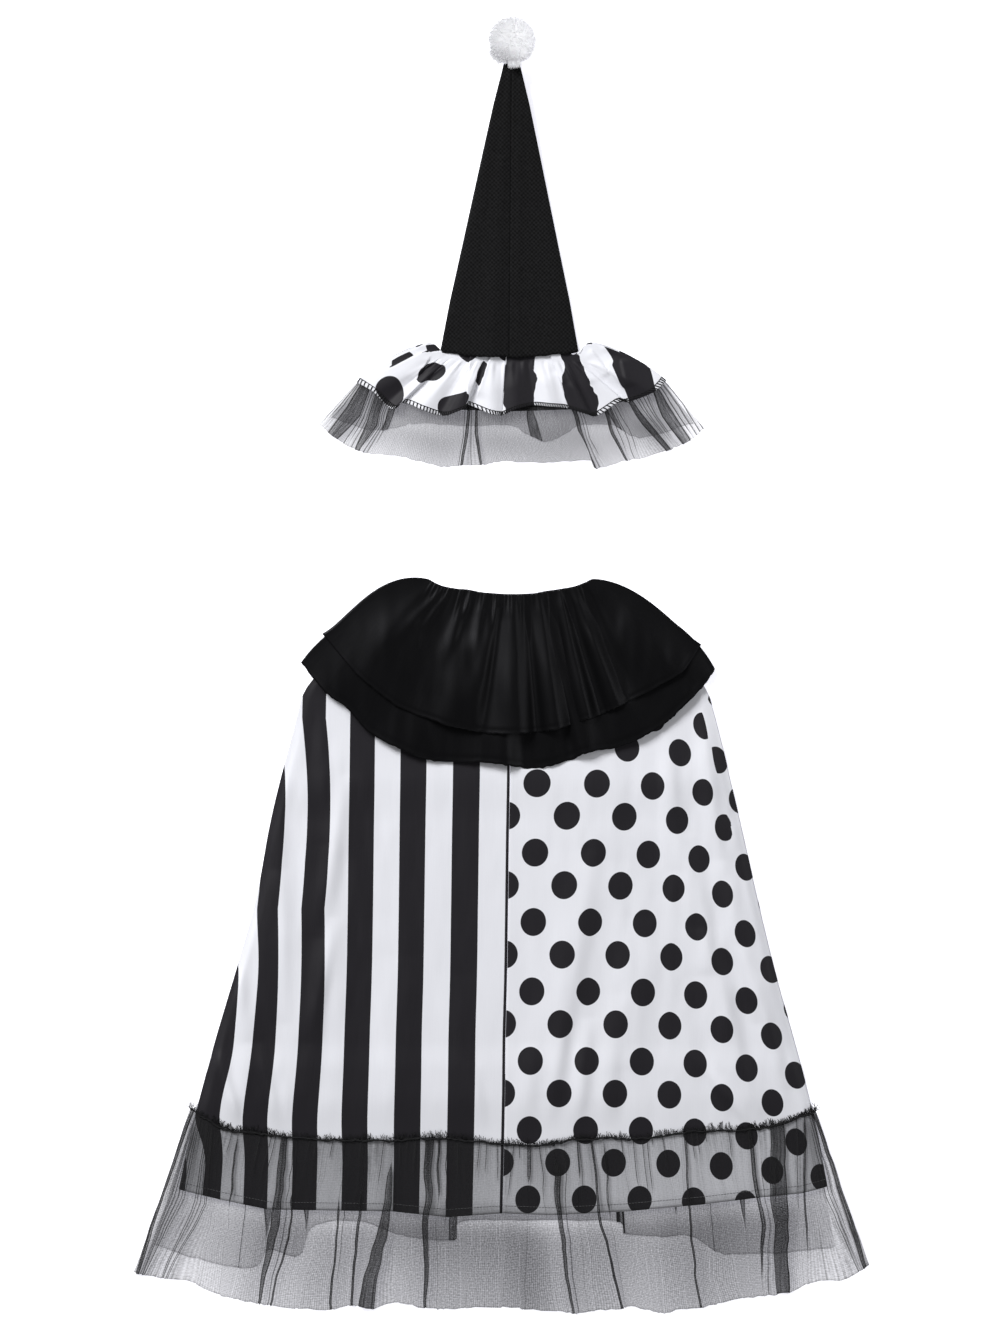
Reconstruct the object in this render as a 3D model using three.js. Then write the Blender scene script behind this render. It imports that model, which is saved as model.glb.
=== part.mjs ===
// Jester cape and hat set, laid flat on a table.
// Millimetres, +X to the right of the set, +Y from the hem towards the pompom, +Z up off the table.
// Each cloth piece is a thin closed sheet. Layers lie on each other with a small clearance.
import * as THREE from 'three';
import { mergeVertices } from 'three/addons/utils/BufferGeometryUtils.js';

// ---- Driving sizes ----
const WALL = 1;                 // cloth wall
const FELT = 2;                 // felt wall of the cone
const CLEARANCE = 0.45;         // air between two layers
const SEAM_GAP = 0.3;           // air between two pieces along a seam
const LAYER = WALL + CLEARANCE; // one cloth layer and the air over it
const CONE_ABOVE_NECK = 252;    // from the middle of the neck edge up to the base of the cone

const CONE_LENGTH = 303;
const CONE_BASE_HALF = 72.8;
const CONE_LEAN = 2.5;          // the tip lies this far to the right of the base's middle
const CONE_LEAN_START = 0.3;    // share of the length at which the lean passes the set's middle
const CONE_BASE_DIP = 4;        // the base's edge is an arc, this much lower in its middle
const CONE_BASE_SAG = 6;        // and its corners lie this far above that
const CONE_GAP_AT_BASE = 2 * LAYER + CLEARANCE; // holds the two plies of the ruffle
const CONE_GAP_AT_TIP = 1.2;
const CONE_FLAT_LENGTH = 110;   // the cone lies flat this far, then rises to the pompom
const CONE_TIP_LIFT = 15;
const CONE_STATIONS = [
  // distance up from the base, half width
  [0, CONE_BASE_HALF],
  [55, 62.8],
  [CONE_FLAT_LENGTH, 51.2],
  [160, 40.7],
  [210, 30.1],
  [260, 19.3],
  [CONE_LENGTH, 8.5],
];
const SIDE_ROUNDING = 3;        // the pressed side edges are rounded over this width
const SIDE_SHOULDER_IN = 0.8;   // a point between the flat and the side edge: how far in
const SIDE_SHOULDER_UP = 0.3;   // and its height from the middle, as a share of the thickness

const POMPOM_RADIUS = 24;
const POMPOM_CENTRE_HEIGHT = 21; // under its radius, so its underside is pressed flat
const POMPOM_OFFSET = 2;        // its middle lies this far to the right of the set's
const POMPOM_RINGS = 9;
const POMPOM_SIDES = 16;

const NECK_DROP = 2;            // the panels' neck edge lies this far under the collar's
const NECK_RISE = 14;           // and curves up this much from the seam to the side
const HEM_SEAM = -8;            // place across of the centre seam at the hem
const COLLAR_FLAT_END = -190;   // the panels lie over the back collar down to here
const COLLAR_RAMP_END = -240;
const FRILL_RAMP_START = -470;
const FRILL_FLAT_START = -500;  // the panels lie over the back frill from here down
const FOLD_END = -540;          // the panels' long folds have faded out here
const FOLD_FADE = 0.7;          // how blunt that fading is: a low number fades late

// ---- Looks ----
const LOOKS = {
  satin: { color: '#19191b', roughness: 0.42, metalness: 0 },
  striped: { color: '#8b8c92', roughness: 0.75, metalness: 0 },
  dotted: { color: '#b4b5bb', roughness: 0.75, metalness: 0 },
  tulle: { color: '#3a3a3e', roughness: 0.8, metalness: 0 },
  felt: { color: '#161618', roughness: 0.95, metalness: 0 },
  yarn: { color: '#f0f0f2', roughness: 0.95, metalness: 0 },
};

// Where the bows of a gathered piece's side lines are fullest, and how sharp they are.
const UPPER_BOW = { fullest: 0.36, sharpness: 2.5 };
const LOWER_BOW = { fullest: 0.6, sharpness: 2.5 };
const RUFFLE_BOW = { fullest: 0.22, sharpness: 1 };

// Places down each gathered piece at which its sheet has points, as shares of its length.
const TIER_STEPS = [0, 0.06, 0.18, 0.4, 0.62, 0.84, 1];
const FRILL_STEPS = [0, 0.04, 0.25, 0.6, 0.8, 1];
const RUFFLE_STEPS = [0, 0.05, 0.17, 0.34, 0.64, 1];
const EDGING_STEPS = [0, 0.15, 0.25, 0.55, 1];

// Shares of the length at which a piece leaves one level and reaches the next, or its full swell.
const UPPER_TIER_FULL = 0.5;
const LOWER_TIER_RISES = 0.84;
const FRILL_FULL = 0.6;
const RUFFLE_LEAVES_CONE = 0.17;
const RUFFLE_REACHES_TABLE = 0.34;
const RUFFLE_FULL = 0.64;
const EDGING_LEAVES_RUFFLE = 0.15;
const BACK_EDGING_DIPS = 0.25;
const GATHERED_SWELL = 0.2;     // share of a fold's height that stands at its gathered edge

// ---- Cape tables. Heights run down from the middle of the neck edge, which is at 0, 0 ----

// Outline of the cape's tube.
const CAPE_LEVELS = [
  // height, left edge, centre seam, right edge
  [10, -80, 0, 80],
  [-45, -146, 0, 143],
  [-88, -213.5, 0, 204],
  [-150, -229, 0, 221],
  [COLLAR_FLAT_END, -240, 0, 230],
  [COLLAR_RAMP_END, -252, -1, 242],
  [-321, -266, -2, 260],
  [-400, -289, -3, 279],
  [FRILL_RAMP_START, -310, -5, 299],
  [FRILL_FLAT_START, -318, -5, 307],
  [-560, -334, -6, 322],
];

// Bottom edges of the front and the back panels. Each point is its place across and its height.
const FRONT_HEM = [
  [-353, -625], [-305, -636], [-255, -646], [-124, -648], [-66, -654], [-8, -650],
  [45, -652], [121, -648], [200, -641], [259, -634], [310, -629], [338, -622],
];
const BACK_HEM = [
  [-350, -616], [-250, -598], [-120, -586], [0, -584], [120, -586], [250, -598], [336, -614],
];

// Long soft folds of the front panels: place from the seam to the side (0 to 1), half width, height.
const STRIPED_FOLDS = [
  { place: 0.17, half: 0.08, height: 2.5 },
  { place: 0.4, half: 0.09, height: 3 },
  { place: 0.69, half: 0.08, height: 5 },
  { place: 0.9, half: 0.06, height: 3 },
];
const DOTTED_FOLDS = [
  { place: 0.26, half: 0.09, height: 3 },
  { place: 0.56, half: 0.09, height: 4 },
  { place: 0.83, half: 0.07, height: 5 },
];
const NO_FOLDS = [{ place: 0.5, half: 0.25, height: 0 }];

// Gathered pieces have a row for each fold line: where it starts, where it ends at the free edge,
// how high it stands there, and how far it bows outwards (only near the sides).
const UPPER_TIER = [
  // start x, start y, end x, end y, height, bow
  [-84, 15, -197, -42, 0, 16.7],
  [-79, 12, -163, -82, 2, 9],
  [-72, 9, -138, -103, 4, 5],
  [-64, 7, -118, -118, 0, 2],
  [-54, 5.5, -92, -129, 5, 0],
  [-44, 4.7, -72, -136, 0, 0],
  [-31, 2.1, -52, -141, 6, 0],
  [-19, 1, -32, -145, 0, 0],
  [-10, 0.3, -17, -147, 5, 0],
  [-2, 0, -3, -147, 1, 0],
  [8, 0, 11, -147, 6, 0],
  [17, 0.4, 24, -146, 0, 0],
  [26, 1, 38, -144, 6, 0],
  [36, 3, 54, -141, 0, 0],
  [43, 4, 65, -138, 6, 0],
  [49, 4.8, 77, -133, 1, 0],
  [55, 5.8, 90, -129, 6, 0],
  [61, 6.8, 103, -123, 0, 0],
  [67, 8, 115, -118, 5, 0],
  [73, 10, 128, -111, 0, 1],
  [79, 12.5, 155, -97, 3, 4],
  [83, 14.5, 181, -82, 1, 8],
  [86, 15.8, 200.5, -53, 0, 11.5],
];
const LOWER_TIER = [
  // start x, start y, end x, end y, height, bow
  [-80, 11, -219.5, -71.5, 0, 13],
  [-76, 9, -194, -103, 3, 8],
  [-70, 7, -172, -119, 0, 4],
  [-63, 5, -148, -145, 4, 2],
  [-53, 3, -119, -161, 0, 0],
  [-43, 2, -93, -172, 4, 0],
  [-33, 0, -73, -176, 0, 0],
  [-15, -2, -31, -177, 4, 0],
  [-1, -2, -2, -180, 0, 0],
  [13, -2, 29, -183, 5, 0],
  [27, -1, 60, -175, 0, 0],
  [37, 1, 83, -166, 4, 0],
  [49, 3, 112, -161, 0, 0],
  [59, 5, 139, -150, 4, 0],
  [67, 7, 160, -138, 0, 1],
  [73, 9, 174, -126, 3, 3],
  [78, 11, 200, -100, 0, 8],
  [82, 13, 215, -79, 0, 16],
];
const FRONT_FRILL = [
  // start x, start y, end x, end y, height
  [-334, -534, -395, -713, 0],
  [-318, -545, -372, -717, 5],
  [-300, -555, -340, -721, 0],
  [-280, -559, -311, -733, 4],
  [-258, -561, -285, -741, 0],
  [-237, -564, -262, -745, 5],
  [-205, -566, -225, -750, 0],
  [-175, -567, -190, -751, 5],
  [-155, -567, -168, -747, 0],
  [-126, -568, -146, -750, 7],
  [-108, -567, -125, -744, 0],
  [-83, -565, -91, -749, 6],
  [-60, -566, -66, -751, 0],
  [-38, -568, -38, -749, 4],
  [-10, -571, -4, -749, 0],
  [22, -573, 30, -752, 4],
  [41, -572, 55, -754, 0],
  [50, -570, 69, -755, 6],
  [69, -566, 92, -752, 0],
  [84, -566, 114, -750, 6],
  [105, -565, 129, -748, 0],
  [127, -566, 160, -755, 4],
  [155, -564, 180, -751, 0],
  [185, -558, 200, -749, 6],
  [215, -557, 235, -740, 0],
  [252, -556, 276, -736, 5],
  [268, -554, 283, -734, 1],
  [284, -550, 292, -733, 7],
  [300, -544, 318, -723, 0],
  [312, -540, 350, -719, 5],
  [319, -537, 377, -705, 0],
];
const BACK_FRILL = [
  // start x, start y, end x, end y, height
  [-330, -536, -374, -683, 0],
  [-300, -520, -340, -695, 0],
  [-255, -512, -291, -707, 0],
  [-236, -510, -266, -706, 0],
  [-228, -509, -253, -689, 0],
  [-196, -507, -220, -695, 0],
  [-186, -507, -208, -665, 0],
  [-150, -506, -163, -658, 0],
  [-114, -505, -124, -671, 0],
  [-86, -505, -94, -677, 0],
  [-52, -504, -58, -678, 0],
  [-48, -504, -52, -660, 0],
  [0, -504, 0, -658, 0],
  [100, -505, 113, -659, 0],
  [106, -505, 119, -671, 0],
  [140, -506, 157, -675, 0],
  [170, -507, 190, -675, 0],
  [200, -508, 220, -692, 0],
  [226, -509, 247, -693, 0],
  [272, -515, 300, -691, 0],
  [315, -536, 341, -686, 0],
];

// ---- Hat tables. Heights run from the base of the cone, which is at 0 ----
const RUFFLE_FRONT_LEFT = [
  // start x, start y, end x, end y, height, bow
  [-73.4, -0.6, -161.5, -29.6, 0, 16.5],
  [-66, 0, -144, -39.6, 3, 2],
  [-60, 4, -131.5, -52, 0, 2],
  [-53, 5, -122, -58.3, 4, 2],
  [-47, 6, -112, -51, 0, 0],
  [-40, 6, -92.4, -58.5, 4, 0],
  [-34, 6, -75.6, -64, 1, 0],
  [-30, 6, -64, -64, 5, 0],
  [-25, 6, -47.6, -57, 6, 0],
  [-22, 6, -43.5, -53.5, 0, 0],
  [-15, 6, -21, -62.7, 5, 0],
  [-4, 6, -8.5, -64.6, 2, 0],
];
const RUFFLE_FRONT_RIGHT = [
  // start x, start y, end x, end y, height, bow
  [-4, 6, -8.5, -64.6, 2, 0],
  [6, 6, 7.4, -57.8, 5, 0],
  [18, 6, 25, -54, 0, 0],
  [30, 6, 42, -55.5, 5, 0],
  [39, 6, 59.7, -57, 1, 0],
  [47, 6, 79.8, -63.2, 6, 0],
  [53, 5, 92, -64.5, 1, 0],
  [56, 4, 115, -50, 4, 0],
  [60, 3, 125, -50, 0, 0],
  [65.5, -0.8, 150.6, -40, 4, 1],
  [73.4, -1, 163.7, -27.8, 0, 15.5],
];
const RUFFLE_BACK_LEFT = [
  // start x, start y, end x, end y, height, bow
  [-73.6, -0.6, -161, -29, 0, 17],
  [-66, 0, -128, -46, 0, 1],
  [-58, 4, -100, -54, 0, 0],
  [-35, 6, -62, -58, 0, 0],
  [0, 6, 0, -60, 0, 0],
];
const RUFFLE_BACK_RIGHT = [
  // start x, start y, end x, end y, height, bow
  [0, 6, 0, -60, 0, 0],
  [35, 6, 62, -58, 0, 0],
  [58, 3, 100, -54, 0, 0],
  [65.5, -0.8, 128, -46, 0, 0],
  [73.6, -1, 163, -27.4, 0, 17.6],
];
const FRONT_EDGING = [
  // start x, start y, end x, end y, height
  [-157, -26, -201, -74, 0],
  [-143, -34, -176, -93, 3],
  [-128, -46, -150, -104, 5],
  [-110, -46, -120, -107, 0],
  [-92, -53, -95, -113, 3],
  [-74, -58, -73, -118, 0],
  [-50, -53, -52, -117, 5],
  [-42, -48, -40, -116, 0],
  [-30, -54, -27, -116, 4],
  [-8, -58, -11, -113, 0],
  [25, -47, 20, -114, 3],
  [45, -50, 48, -114, 0],
  [59, -51, 83, -111, 4],
  [75, -54, 91, -120, 0],
  [92, -57, 118, -113, 5],
  [108, -50, 143, -108, 0],
  [124, -43, 172, -99, 5],
  [145, -36, 190, -90, 0],
  [159, -24, 204, -78, 1],
];
const BACK_EDGING = [
  // start x, start y, end x, end y, height
  [-156, -26, -188, -66, 0],
  [-128, -40, -146, -80, 0],
  [-108, -47, -116, -76, 0],
  [-90, -50, -96, -73, 0],
  [-40, -52, -42, -75, 0],
  [0, -54, 2, -75, 0],
  [14, -54, 16, -83, 0],
  [34, -53, 38, -92, 0],
  [54, -52, 58, -84, 0],
  [68, -52, 74, -75, 0],
  [100, -48, 108, -75, 0],
  [122, -42, 138, -88, 0],
  [157, -25, 193, -72, 0],
];

// ---- Working functions ----

// Value of a rising two-column table at a place, with straight lines between its rows.
function along(table, at) {
  const last = table.length - 1;
  if (at <= table[0][0]) return table[0][1];
  if (at >= table[last][0]) return table[last][1];
  const i = table.findIndex((row) => row[0] > at);
  const [x0, y0] = table[i - 1];
  const [x1, y1] = table[i];
  return y0 + ((at - x0) / (x1 - x0)) * (y1 - y0);
}

// 0 at and before start, 1 at and after end, a straight ramp between.
function ramp(at, start, end) {
  return Math.min(1, Math.max(0, (at - start) / (end - start)));
}

// A bow's share at v: 0 at both ends and 1 at its fullest. The ends are blunt where sharpness is low.
function bowShare(v, { fullest, sharpness }) {
  const early = fullest * sharpness;
  const late = (1 - fullest) * sharpness;
  const most = fullest ** early * (1 - fullest) ** late;
  return (v ** early * (1 - v) ** late) / most;
}

// Two triangles for a four-sided facet, cut along its shorter diagonal.
function twoTriangles(positions, a, b, c, d) {
  const [pa, pb, pc, pd] = [a, b, c, d].map((i) => new THREE.Vector3().fromArray(positions, 3 * i));
  const cutFromA = pa.distanceTo(pc) <= pb.distanceTo(pd);
  return cutFromA ? [a, b, c, a, c, d] : [a, b, d, b, c, d];
}

function meshOf(name, look, positions, triangles) {
  const geometry = new THREE.BufferGeometry();
  geometry.setAttribute('position', new THREE.Float32BufferAttribute(positions, 3));
  geometry.setIndex(triangles);
  const mesh = new THREE.Mesh(geometry, new THREE.MeshStandardMaterial(LOOKS[look]));
  mesh.name = name;
  return mesh;
}

// A closed sheet of cloth. underside[i][j] is a point of its underside, with i going to the right
// and j going down the sheet. The upper side is a wall's thickness over it.
function clothSheet(name, look, underside) {
  const across = underside.length;
  const down = underside[0].length;
  const positions = [];
  for (const lift of [0, WALL]) {
    for (const column of underside) {
      for (const [x, y, z] of column) positions.push(x, y, z + lift);
    }
  }
  const low = (i, j) => i * down + j;
  const high = (i, j) => (across + i) * down + j;
  const triangles = [];
  const quad = (a, b, c, d) => triangles.push(...twoTriangles(positions, a, b, c, d));
  for (let i = 0; i + 1 < across; i++) {
    for (let j = 0; j + 1 < down; j++) {
      quad(high(i, j), high(i, j + 1), high(i + 1, j + 1), high(i + 1, j));
      quad(low(i, j), low(i + 1, j), low(i + 1, j + 1), low(i, j + 1));
    }
    const end = down - 1;
    quad(low(i, 0), high(i, 0), high(i + 1, 0), low(i + 1, 0));
    quad(low(i, end), low(i + 1, end), high(i + 1, end), high(i, end));
  }
  for (let j = 0; j + 1 < down; j++) {
    const end = across - 1;
    quad(low(0, j), low(0, j + 1), high(0, j + 1), high(0, j));
    quad(low(end, j), high(end, j), high(end, j + 1), low(end, j + 1));
  }
  return meshOf(name, look, positions, triangles);
}

// ---- Cape panels ----

function backPanelFloor(y) {
  const overCollar = 2 * LAYER * ramp(y, COLLAR_RAMP_END, COLLAR_FLAT_END);
  const overFrill = LAYER * ramp(-y, -FRILL_RAMP_START, -FRILL_FLAT_START);
  return overCollar + overFrill;
}

function frontPanelFloor(y) {
  return backPanelFloor(y) + LAYER;
}

// Folds fade out under the collar and under the gathers of the frill.
function foldStrength(y) {
  const share = ramp(y, FOLD_END, COLLAR_FLAT_END);
  return Math.sin(Math.PI * share) ** FOLD_FADE;
}

// One half of the tube's front or back, from the centre seam to one side edge.
// side is -1 for the left half and 1 for the right.
function capePanel(name, look, side, folds, hem, floor, inset) {
  const edge = side < 0 ? 1 : 3;
  const stops = [{ share: 0, height: 0 }];
  for (const fold of folds) {
    stops.push({ share: fold.place - fold.half, height: 0 });
    stops.push({ share: fold.place, height: fold.height });
    stops.push({ share: fold.place + fold.half, height: 0 });
  }
  stops.push({ share: 1, height: 0 });
  const columns = stops.map(({ share, height }) => {
    const column = CAPE_LEVELS.map((level) => {
      const seam = level[2] + (side * SEAM_GAP) / 2;
      const x = seam + share * (level[edge] - side * inset - seam);
      const atNeck = level === CAPE_LEVELS[0];
      const neckline = atNeck ? NECK_RISE * (share ** 2 - 1) - NECK_DROP : 0;
      const y = level[0] + neckline;
      return [x, y, floor(y) + height * foldStrength(y)];
    });
    const hemSeam = HEM_SEAM + (side * SEAM_GAP) / 2;
    const hemEdge = hem[side < 0 ? 0 : hem.length - 1][0] - side * inset;
    const x = hemSeam + share * (hemEdge - hemSeam);
    column.push([x, along(hem, x), floor(FRILL_FLAT_START)]);
    return column;
  });
  return clothSheet(name, look, side < 0 ? columns.reverse() : columns);
}

// ---- Gathered pieces ----

// rows is a table of fold lines; steps are the places down each line; floor(v) is the height of the
// underside; swell(v) is how much of the fold stands there; shape is the bow's fullest and sharpness.
function gatheredSheet(name, look, rows, { steps, floor, swell, shape = UPPER_BOW, shift = 0 }) {
  const middle = (rows[0][0] + rows[rows.length - 1][0]) / 2;
  const columns = rows.map(([x0, y0, x1, y1, height, bow = 0]) => {
    const length = Math.hypot(x1 - x0, y1 - y0);
    const outwards = x1 < middle ? -1 : 1;
    const normalX = (outwards * Math.abs(y1 - y0)) / length;
    const normalY = Math.abs(x1 - x0) / length;
    return steps.map((v) => {
      const out = bow * bowShare(v, shape);
      const x = x0 + v * (x1 - x0) + normalX * out + shift;
      const y = y0 + v * (y1 - y0) + normalY * out;
      return [x, y, floor(v) + height * swell(v)];
    });
  });
  return clothSheet(name, look, columns);
}

function collarTier(name, rows, layersUnder, shape, swell) {
  const floor = () => layersUnder * LAYER;
  return gatheredSheet(name, 'satin', rows, { steps: TIER_STEPS, floor, swell, shape });
}

// The front frill starts on the front panels and comes down to the back frill at its free edge.
function frontFrill() {
  const start = 3 * LAYER;
  const end = LAYER;
  const floor = (v) => start + (end - start) * ramp(v, FRILL_FULL, 1);
  const swell = (v) => GATHERED_SWELL + (1 - GATHERED_SWELL) * ramp(v, 0, FRILL_FULL);
  return gatheredSheet('hem_frill_front', 'tulle', FRONT_FRILL, { steps: FRILL_STEPS, floor, swell });
}

function backFrill() {
  const floor = () => 0;
  const swell = () => 0;
  return gatheredSheet('hem_frill_back', 'tulle', BACK_FRILL, { steps: FRILL_STEPS, floor, swell });
}

function cape() {
  const group = new THREE.Group();
  const upperSwell = (v) => GATHERED_SWELL + (1 - GATHERED_SWELL) * ramp(v, 0, UPPER_TIER_FULL);
  const lowerSwell = (v) => ramp(v, LOWER_TIER_RISES, 1);
  const flat = () => 0;
  group.add(collarTier('collar_upper_back', UPPER_TIER, 0, UPPER_BOW, flat));
  group.add(collarTier('collar_lower_back', LOWER_TIER, 1, LOWER_BOW, flat));
  group.add(capePanel('cape_back_striped', 'striped', -1, NO_FOLDS, BACK_HEM, backPanelFloor, 1));
  group.add(capePanel('cape_back_dotted', 'dotted', 1, NO_FOLDS, BACK_HEM, backPanelFloor, 1));
  group.add(capePanel('cape_front_striped', 'striped', -1, STRIPED_FOLDS, FRONT_HEM, frontPanelFloor, 0));
  group.add(capePanel('cape_front_dotted', 'dotted', 1, DOTTED_FOLDS, FRONT_HEM, frontPanelFloor, 0));
  group.add(collarTier('collar_lower_front', LOWER_TIER, 4, LOWER_BOW, lowerSwell));
  group.add(collarTier('collar_upper_front', UPPER_TIER, 5, UPPER_BOW, upperSwell));
  group.add(backFrill());
  group.add(frontFrill());
  return group;
}

// ---- Hat ----

// The cone at a distance up from its base: inner gap, underside height, and place of its middle.
function coneSection(up) {
  const share = up / CONE_LENGTH;
  const lift = CONE_TIP_LIFT * ramp(up, CONE_FLAT_LENGTH, CONE_LENGTH) ** 2;
  return {
    gap: CONE_GAP_AT_BASE + share * (CONE_GAP_AT_TIP - CONE_GAP_AT_BASE),
    floor: lift,
    lean: CONE_LEAN * (share - CONE_LEAN_START),
    dip: CONE_BASE_DIP * (1 - share),
  };
}

// The felt is one piece, pressed flat, whose two edges meet in the middle of the front.
function coneLoop([up, half], inset) {
  const { gap, floor, lean, dip } = coneSection(up);
  const low = floor + inset;
  const high = floor + 2 * FELT + gap - inset;
  const side = half - inset;
  const flat = half - SIDE_ROUNDING - FELT / 2;
  const slit = SEAM_GAP / 2;
  const middle = (low + high) / 2;
  const shoulder = side - SIDE_SHOULDER_IN;
  const shoulderUp = (high - low) * SIDE_SHOULDER_UP;
  const right = [
    [slit, high], [flat / 2, high], [flat, high], [shoulder, middle + shoulderUp],
    [side, middle], [shoulder, middle - shoulderUp], [flat, low], [flat / 2, low],
  ];
  const left = right.map(([x, z]) => [-x, z]).reverse();
  const arc = (x) => CONE_BASE_SAG * (x / CONE_BASE_HALF) ** 2;
  return [...right, [0, low], ...left].map(([x, z]) => [x + lean, up - dip + arc(x), z]);
}

function cone() {
  const outer = CONE_STATIONS.map((station) => coneLoop(station, 0));
  const inner = CONE_STATIONS.map((station) => coneLoop(station, FELT));
  const around = outer[0].length;
  const rings = CONE_STATIONS.length;
  const positions = [...outer, ...inner].flat(2);
  const out = (k, i) => k * around + i;
  const inn = (k, i) => (rings + k) * around + i;
  const triangles = [];
  const quad = (a, b, c, d) => triangles.push(a, b, c, a, c, d);
  for (let k = 0; k + 1 < rings; k++) {
    for (let i = 0; i + 1 < around; i++) {
      quad(out(k, i), out(k, i + 1), out(k + 1, i + 1), out(k + 1, i));
      quad(inn(k, i), inn(k + 1, i), inn(k + 1, i + 1), inn(k, i + 1));
    }
    const end = around - 1;
    quad(out(k, 0), out(k + 1, 0), inn(k + 1, 0), inn(k, 0));
    quad(out(k, end), inn(k, end), inn(k + 1, end), out(k + 1, end));
  }
  for (let i = 0; i + 1 < around; i++) {
    const top = rings - 1;
    quad(out(0, i), inn(0, i), inn(0, i + 1), out(0, i + 1));
    quad(out(top, i), out(top, i + 1), inn(top, i + 1), inn(top, i));
  }
  return meshOf('hat_cone', 'felt', positions, triangles);
}

function pompom() {
  const flatRadius = Math.sqrt(POMPOM_RADIUS ** 2 - POMPOM_CENTRE_HEIGHT ** 2);
  const start = Math.atan2(-POMPOM_CENTRE_HEIGHT, flatRadius);
  const profile = [new THREE.Vector2(0, 0)];
  for (let i = 0; i < POMPOM_RINGS; i++) {
    const angle = start + ((Math.PI / 2 - start) * i) / POMPOM_RINGS;
    const height = POMPOM_CENTRE_HEIGHT + POMPOM_RADIUS * Math.sin(angle);
    profile.push(new THREE.Vector2(POMPOM_RADIUS * Math.cos(angle), height));
  }
  profile.push(new THREE.Vector2(0, POMPOM_CENTRE_HEIGHT + POMPOM_RADIUS));
  const lathe = new THREE.LatheGeometry(profile, POMPOM_SIDES);
  lathe.deleteAttribute('normal');
  lathe.deleteAttribute('uv');
  const mesh = new THREE.Mesh(mergeVertices(lathe), new THREE.MeshStandardMaterial(LOOKS.yarn));
  mesh.name = 'hat_pompom';
  mesh.rotation.x = Math.PI / 2;
  mesh.position.set(POMPOM_OFFSET, CONE_LENGTH + CLEARANCE + POMPOM_RADIUS, 0);
  return mesh;
}

// The ruffle's plies leave the cone between its two felt plies and then lie on the table.
function ruffle(name, look, rows, ply, shift) {
  const outside = ply === 'back' ? 0 : 3 * LAYER;
  const inside = FELT + CLEARANCE + (ply === 'back' ? 0 : LAYER);
  const out = (v) => ramp(v, RUFFLE_LEAVES_CONE, RUFFLE_REACHES_TABLE);
  const floor = (v) => inside + (outside - inside) * out(v);
  const swell = (v) => ramp(v, RUFFLE_LEAVES_CONE, RUFFLE_FULL);
  const options = { steps: RUFFLE_STEPS, floor, swell, shape: RUFFLE_BOW, shift };
  return gatheredSheet(name, look, rows, options);
}

function edging(name, rows, ply) {
  const start = ply === 'back' ? LAYER : 2 * LAYER;
  const end = ply === 'back' ? 0 : LAYER;
  const dips = ply === 'back' ? BACK_EDGING_DIPS : EDGING_LEAVES_RUFFLE;
  const swell = (v) => ramp(v, EDGING_LEAVES_RUFFLE, 1);
  const floor = (v) => start + (end - start) * ramp(v, dips, 1);
  return gatheredSheet(name, 'tulle', rows, { steps: EDGING_STEPS, floor, swell });
}

function hat() {
  const group = new THREE.Group();
  const apart = SEAM_GAP / 2;
  group.add(ruffle('hat_ruffle_back_dotted', 'dotted', RUFFLE_BACK_LEFT, 'back', -apart));
  group.add(ruffle('hat_ruffle_back_striped', 'striped', RUFFLE_BACK_RIGHT, 'back', apart));
  group.add(edging('hat_edging_back', BACK_EDGING, 'back'));
  group.add(edging('hat_edging_front', FRONT_EDGING, 'front'));
  group.add(ruffle('hat_ruffle_front_dotted', 'dotted', RUFFLE_FRONT_LEFT, 'front', -apart));
  group.add(ruffle('hat_ruffle_front_striped', 'striped', RUFFLE_FRONT_RIGHT, 'front', apart));
  group.add(cone());
  group.add(pompom());
  group.position.y = CONE_ABOVE_NECK;
  return group;
}

// The set's origin is the middle of its footprint, on the table.
const set = new THREE.Group();
set.add(cape(), hat());
const box = new THREE.Box3().setFromObject(set);
const centre = box.getCenter(new THREE.Vector3());
for (const part of set.children) {
  part.position.x -= centre.x;
  part.position.y -= centre.y;
}

export default set;
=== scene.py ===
"""A jester cape and hat set, laid flat: thin cloth shells, their prints, folds and stitching.

Tables are in millimetres. The cape's run from the middle of its neck edge and the hat's from the
middle of the cone's base, with x to the right of the set and y up it, towards the pompom.
"""
import math

import bmesh
import bpy
import numpy as np
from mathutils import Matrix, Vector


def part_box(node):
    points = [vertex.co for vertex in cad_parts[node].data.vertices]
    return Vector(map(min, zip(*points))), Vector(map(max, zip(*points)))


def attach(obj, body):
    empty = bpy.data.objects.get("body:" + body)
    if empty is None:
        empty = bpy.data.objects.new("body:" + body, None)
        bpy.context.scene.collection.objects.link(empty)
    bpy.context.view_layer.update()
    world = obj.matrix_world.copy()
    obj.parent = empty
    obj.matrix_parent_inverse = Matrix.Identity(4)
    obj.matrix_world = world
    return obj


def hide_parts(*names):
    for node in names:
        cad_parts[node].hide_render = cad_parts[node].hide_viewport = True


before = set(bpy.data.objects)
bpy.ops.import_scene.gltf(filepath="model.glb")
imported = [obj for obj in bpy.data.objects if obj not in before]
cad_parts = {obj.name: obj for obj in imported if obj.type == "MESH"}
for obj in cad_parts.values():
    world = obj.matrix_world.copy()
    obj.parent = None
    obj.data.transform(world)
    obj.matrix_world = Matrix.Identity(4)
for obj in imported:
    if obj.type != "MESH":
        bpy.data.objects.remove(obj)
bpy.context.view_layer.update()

MM = 0.001
SEED = 20
WALL = 1.0  # cloth wall of the solids; a shell lies in its middle
LAYER = 1.45  # one solid cloth layer and the air over it
FELT = 2.0  # the felt's wall
CLOTH = 0.45  # thickness of a shell of woven cloth

# -------- places, from the frame


def low_corner(node):
    return np.array(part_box(node)[0]) / MM


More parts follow.
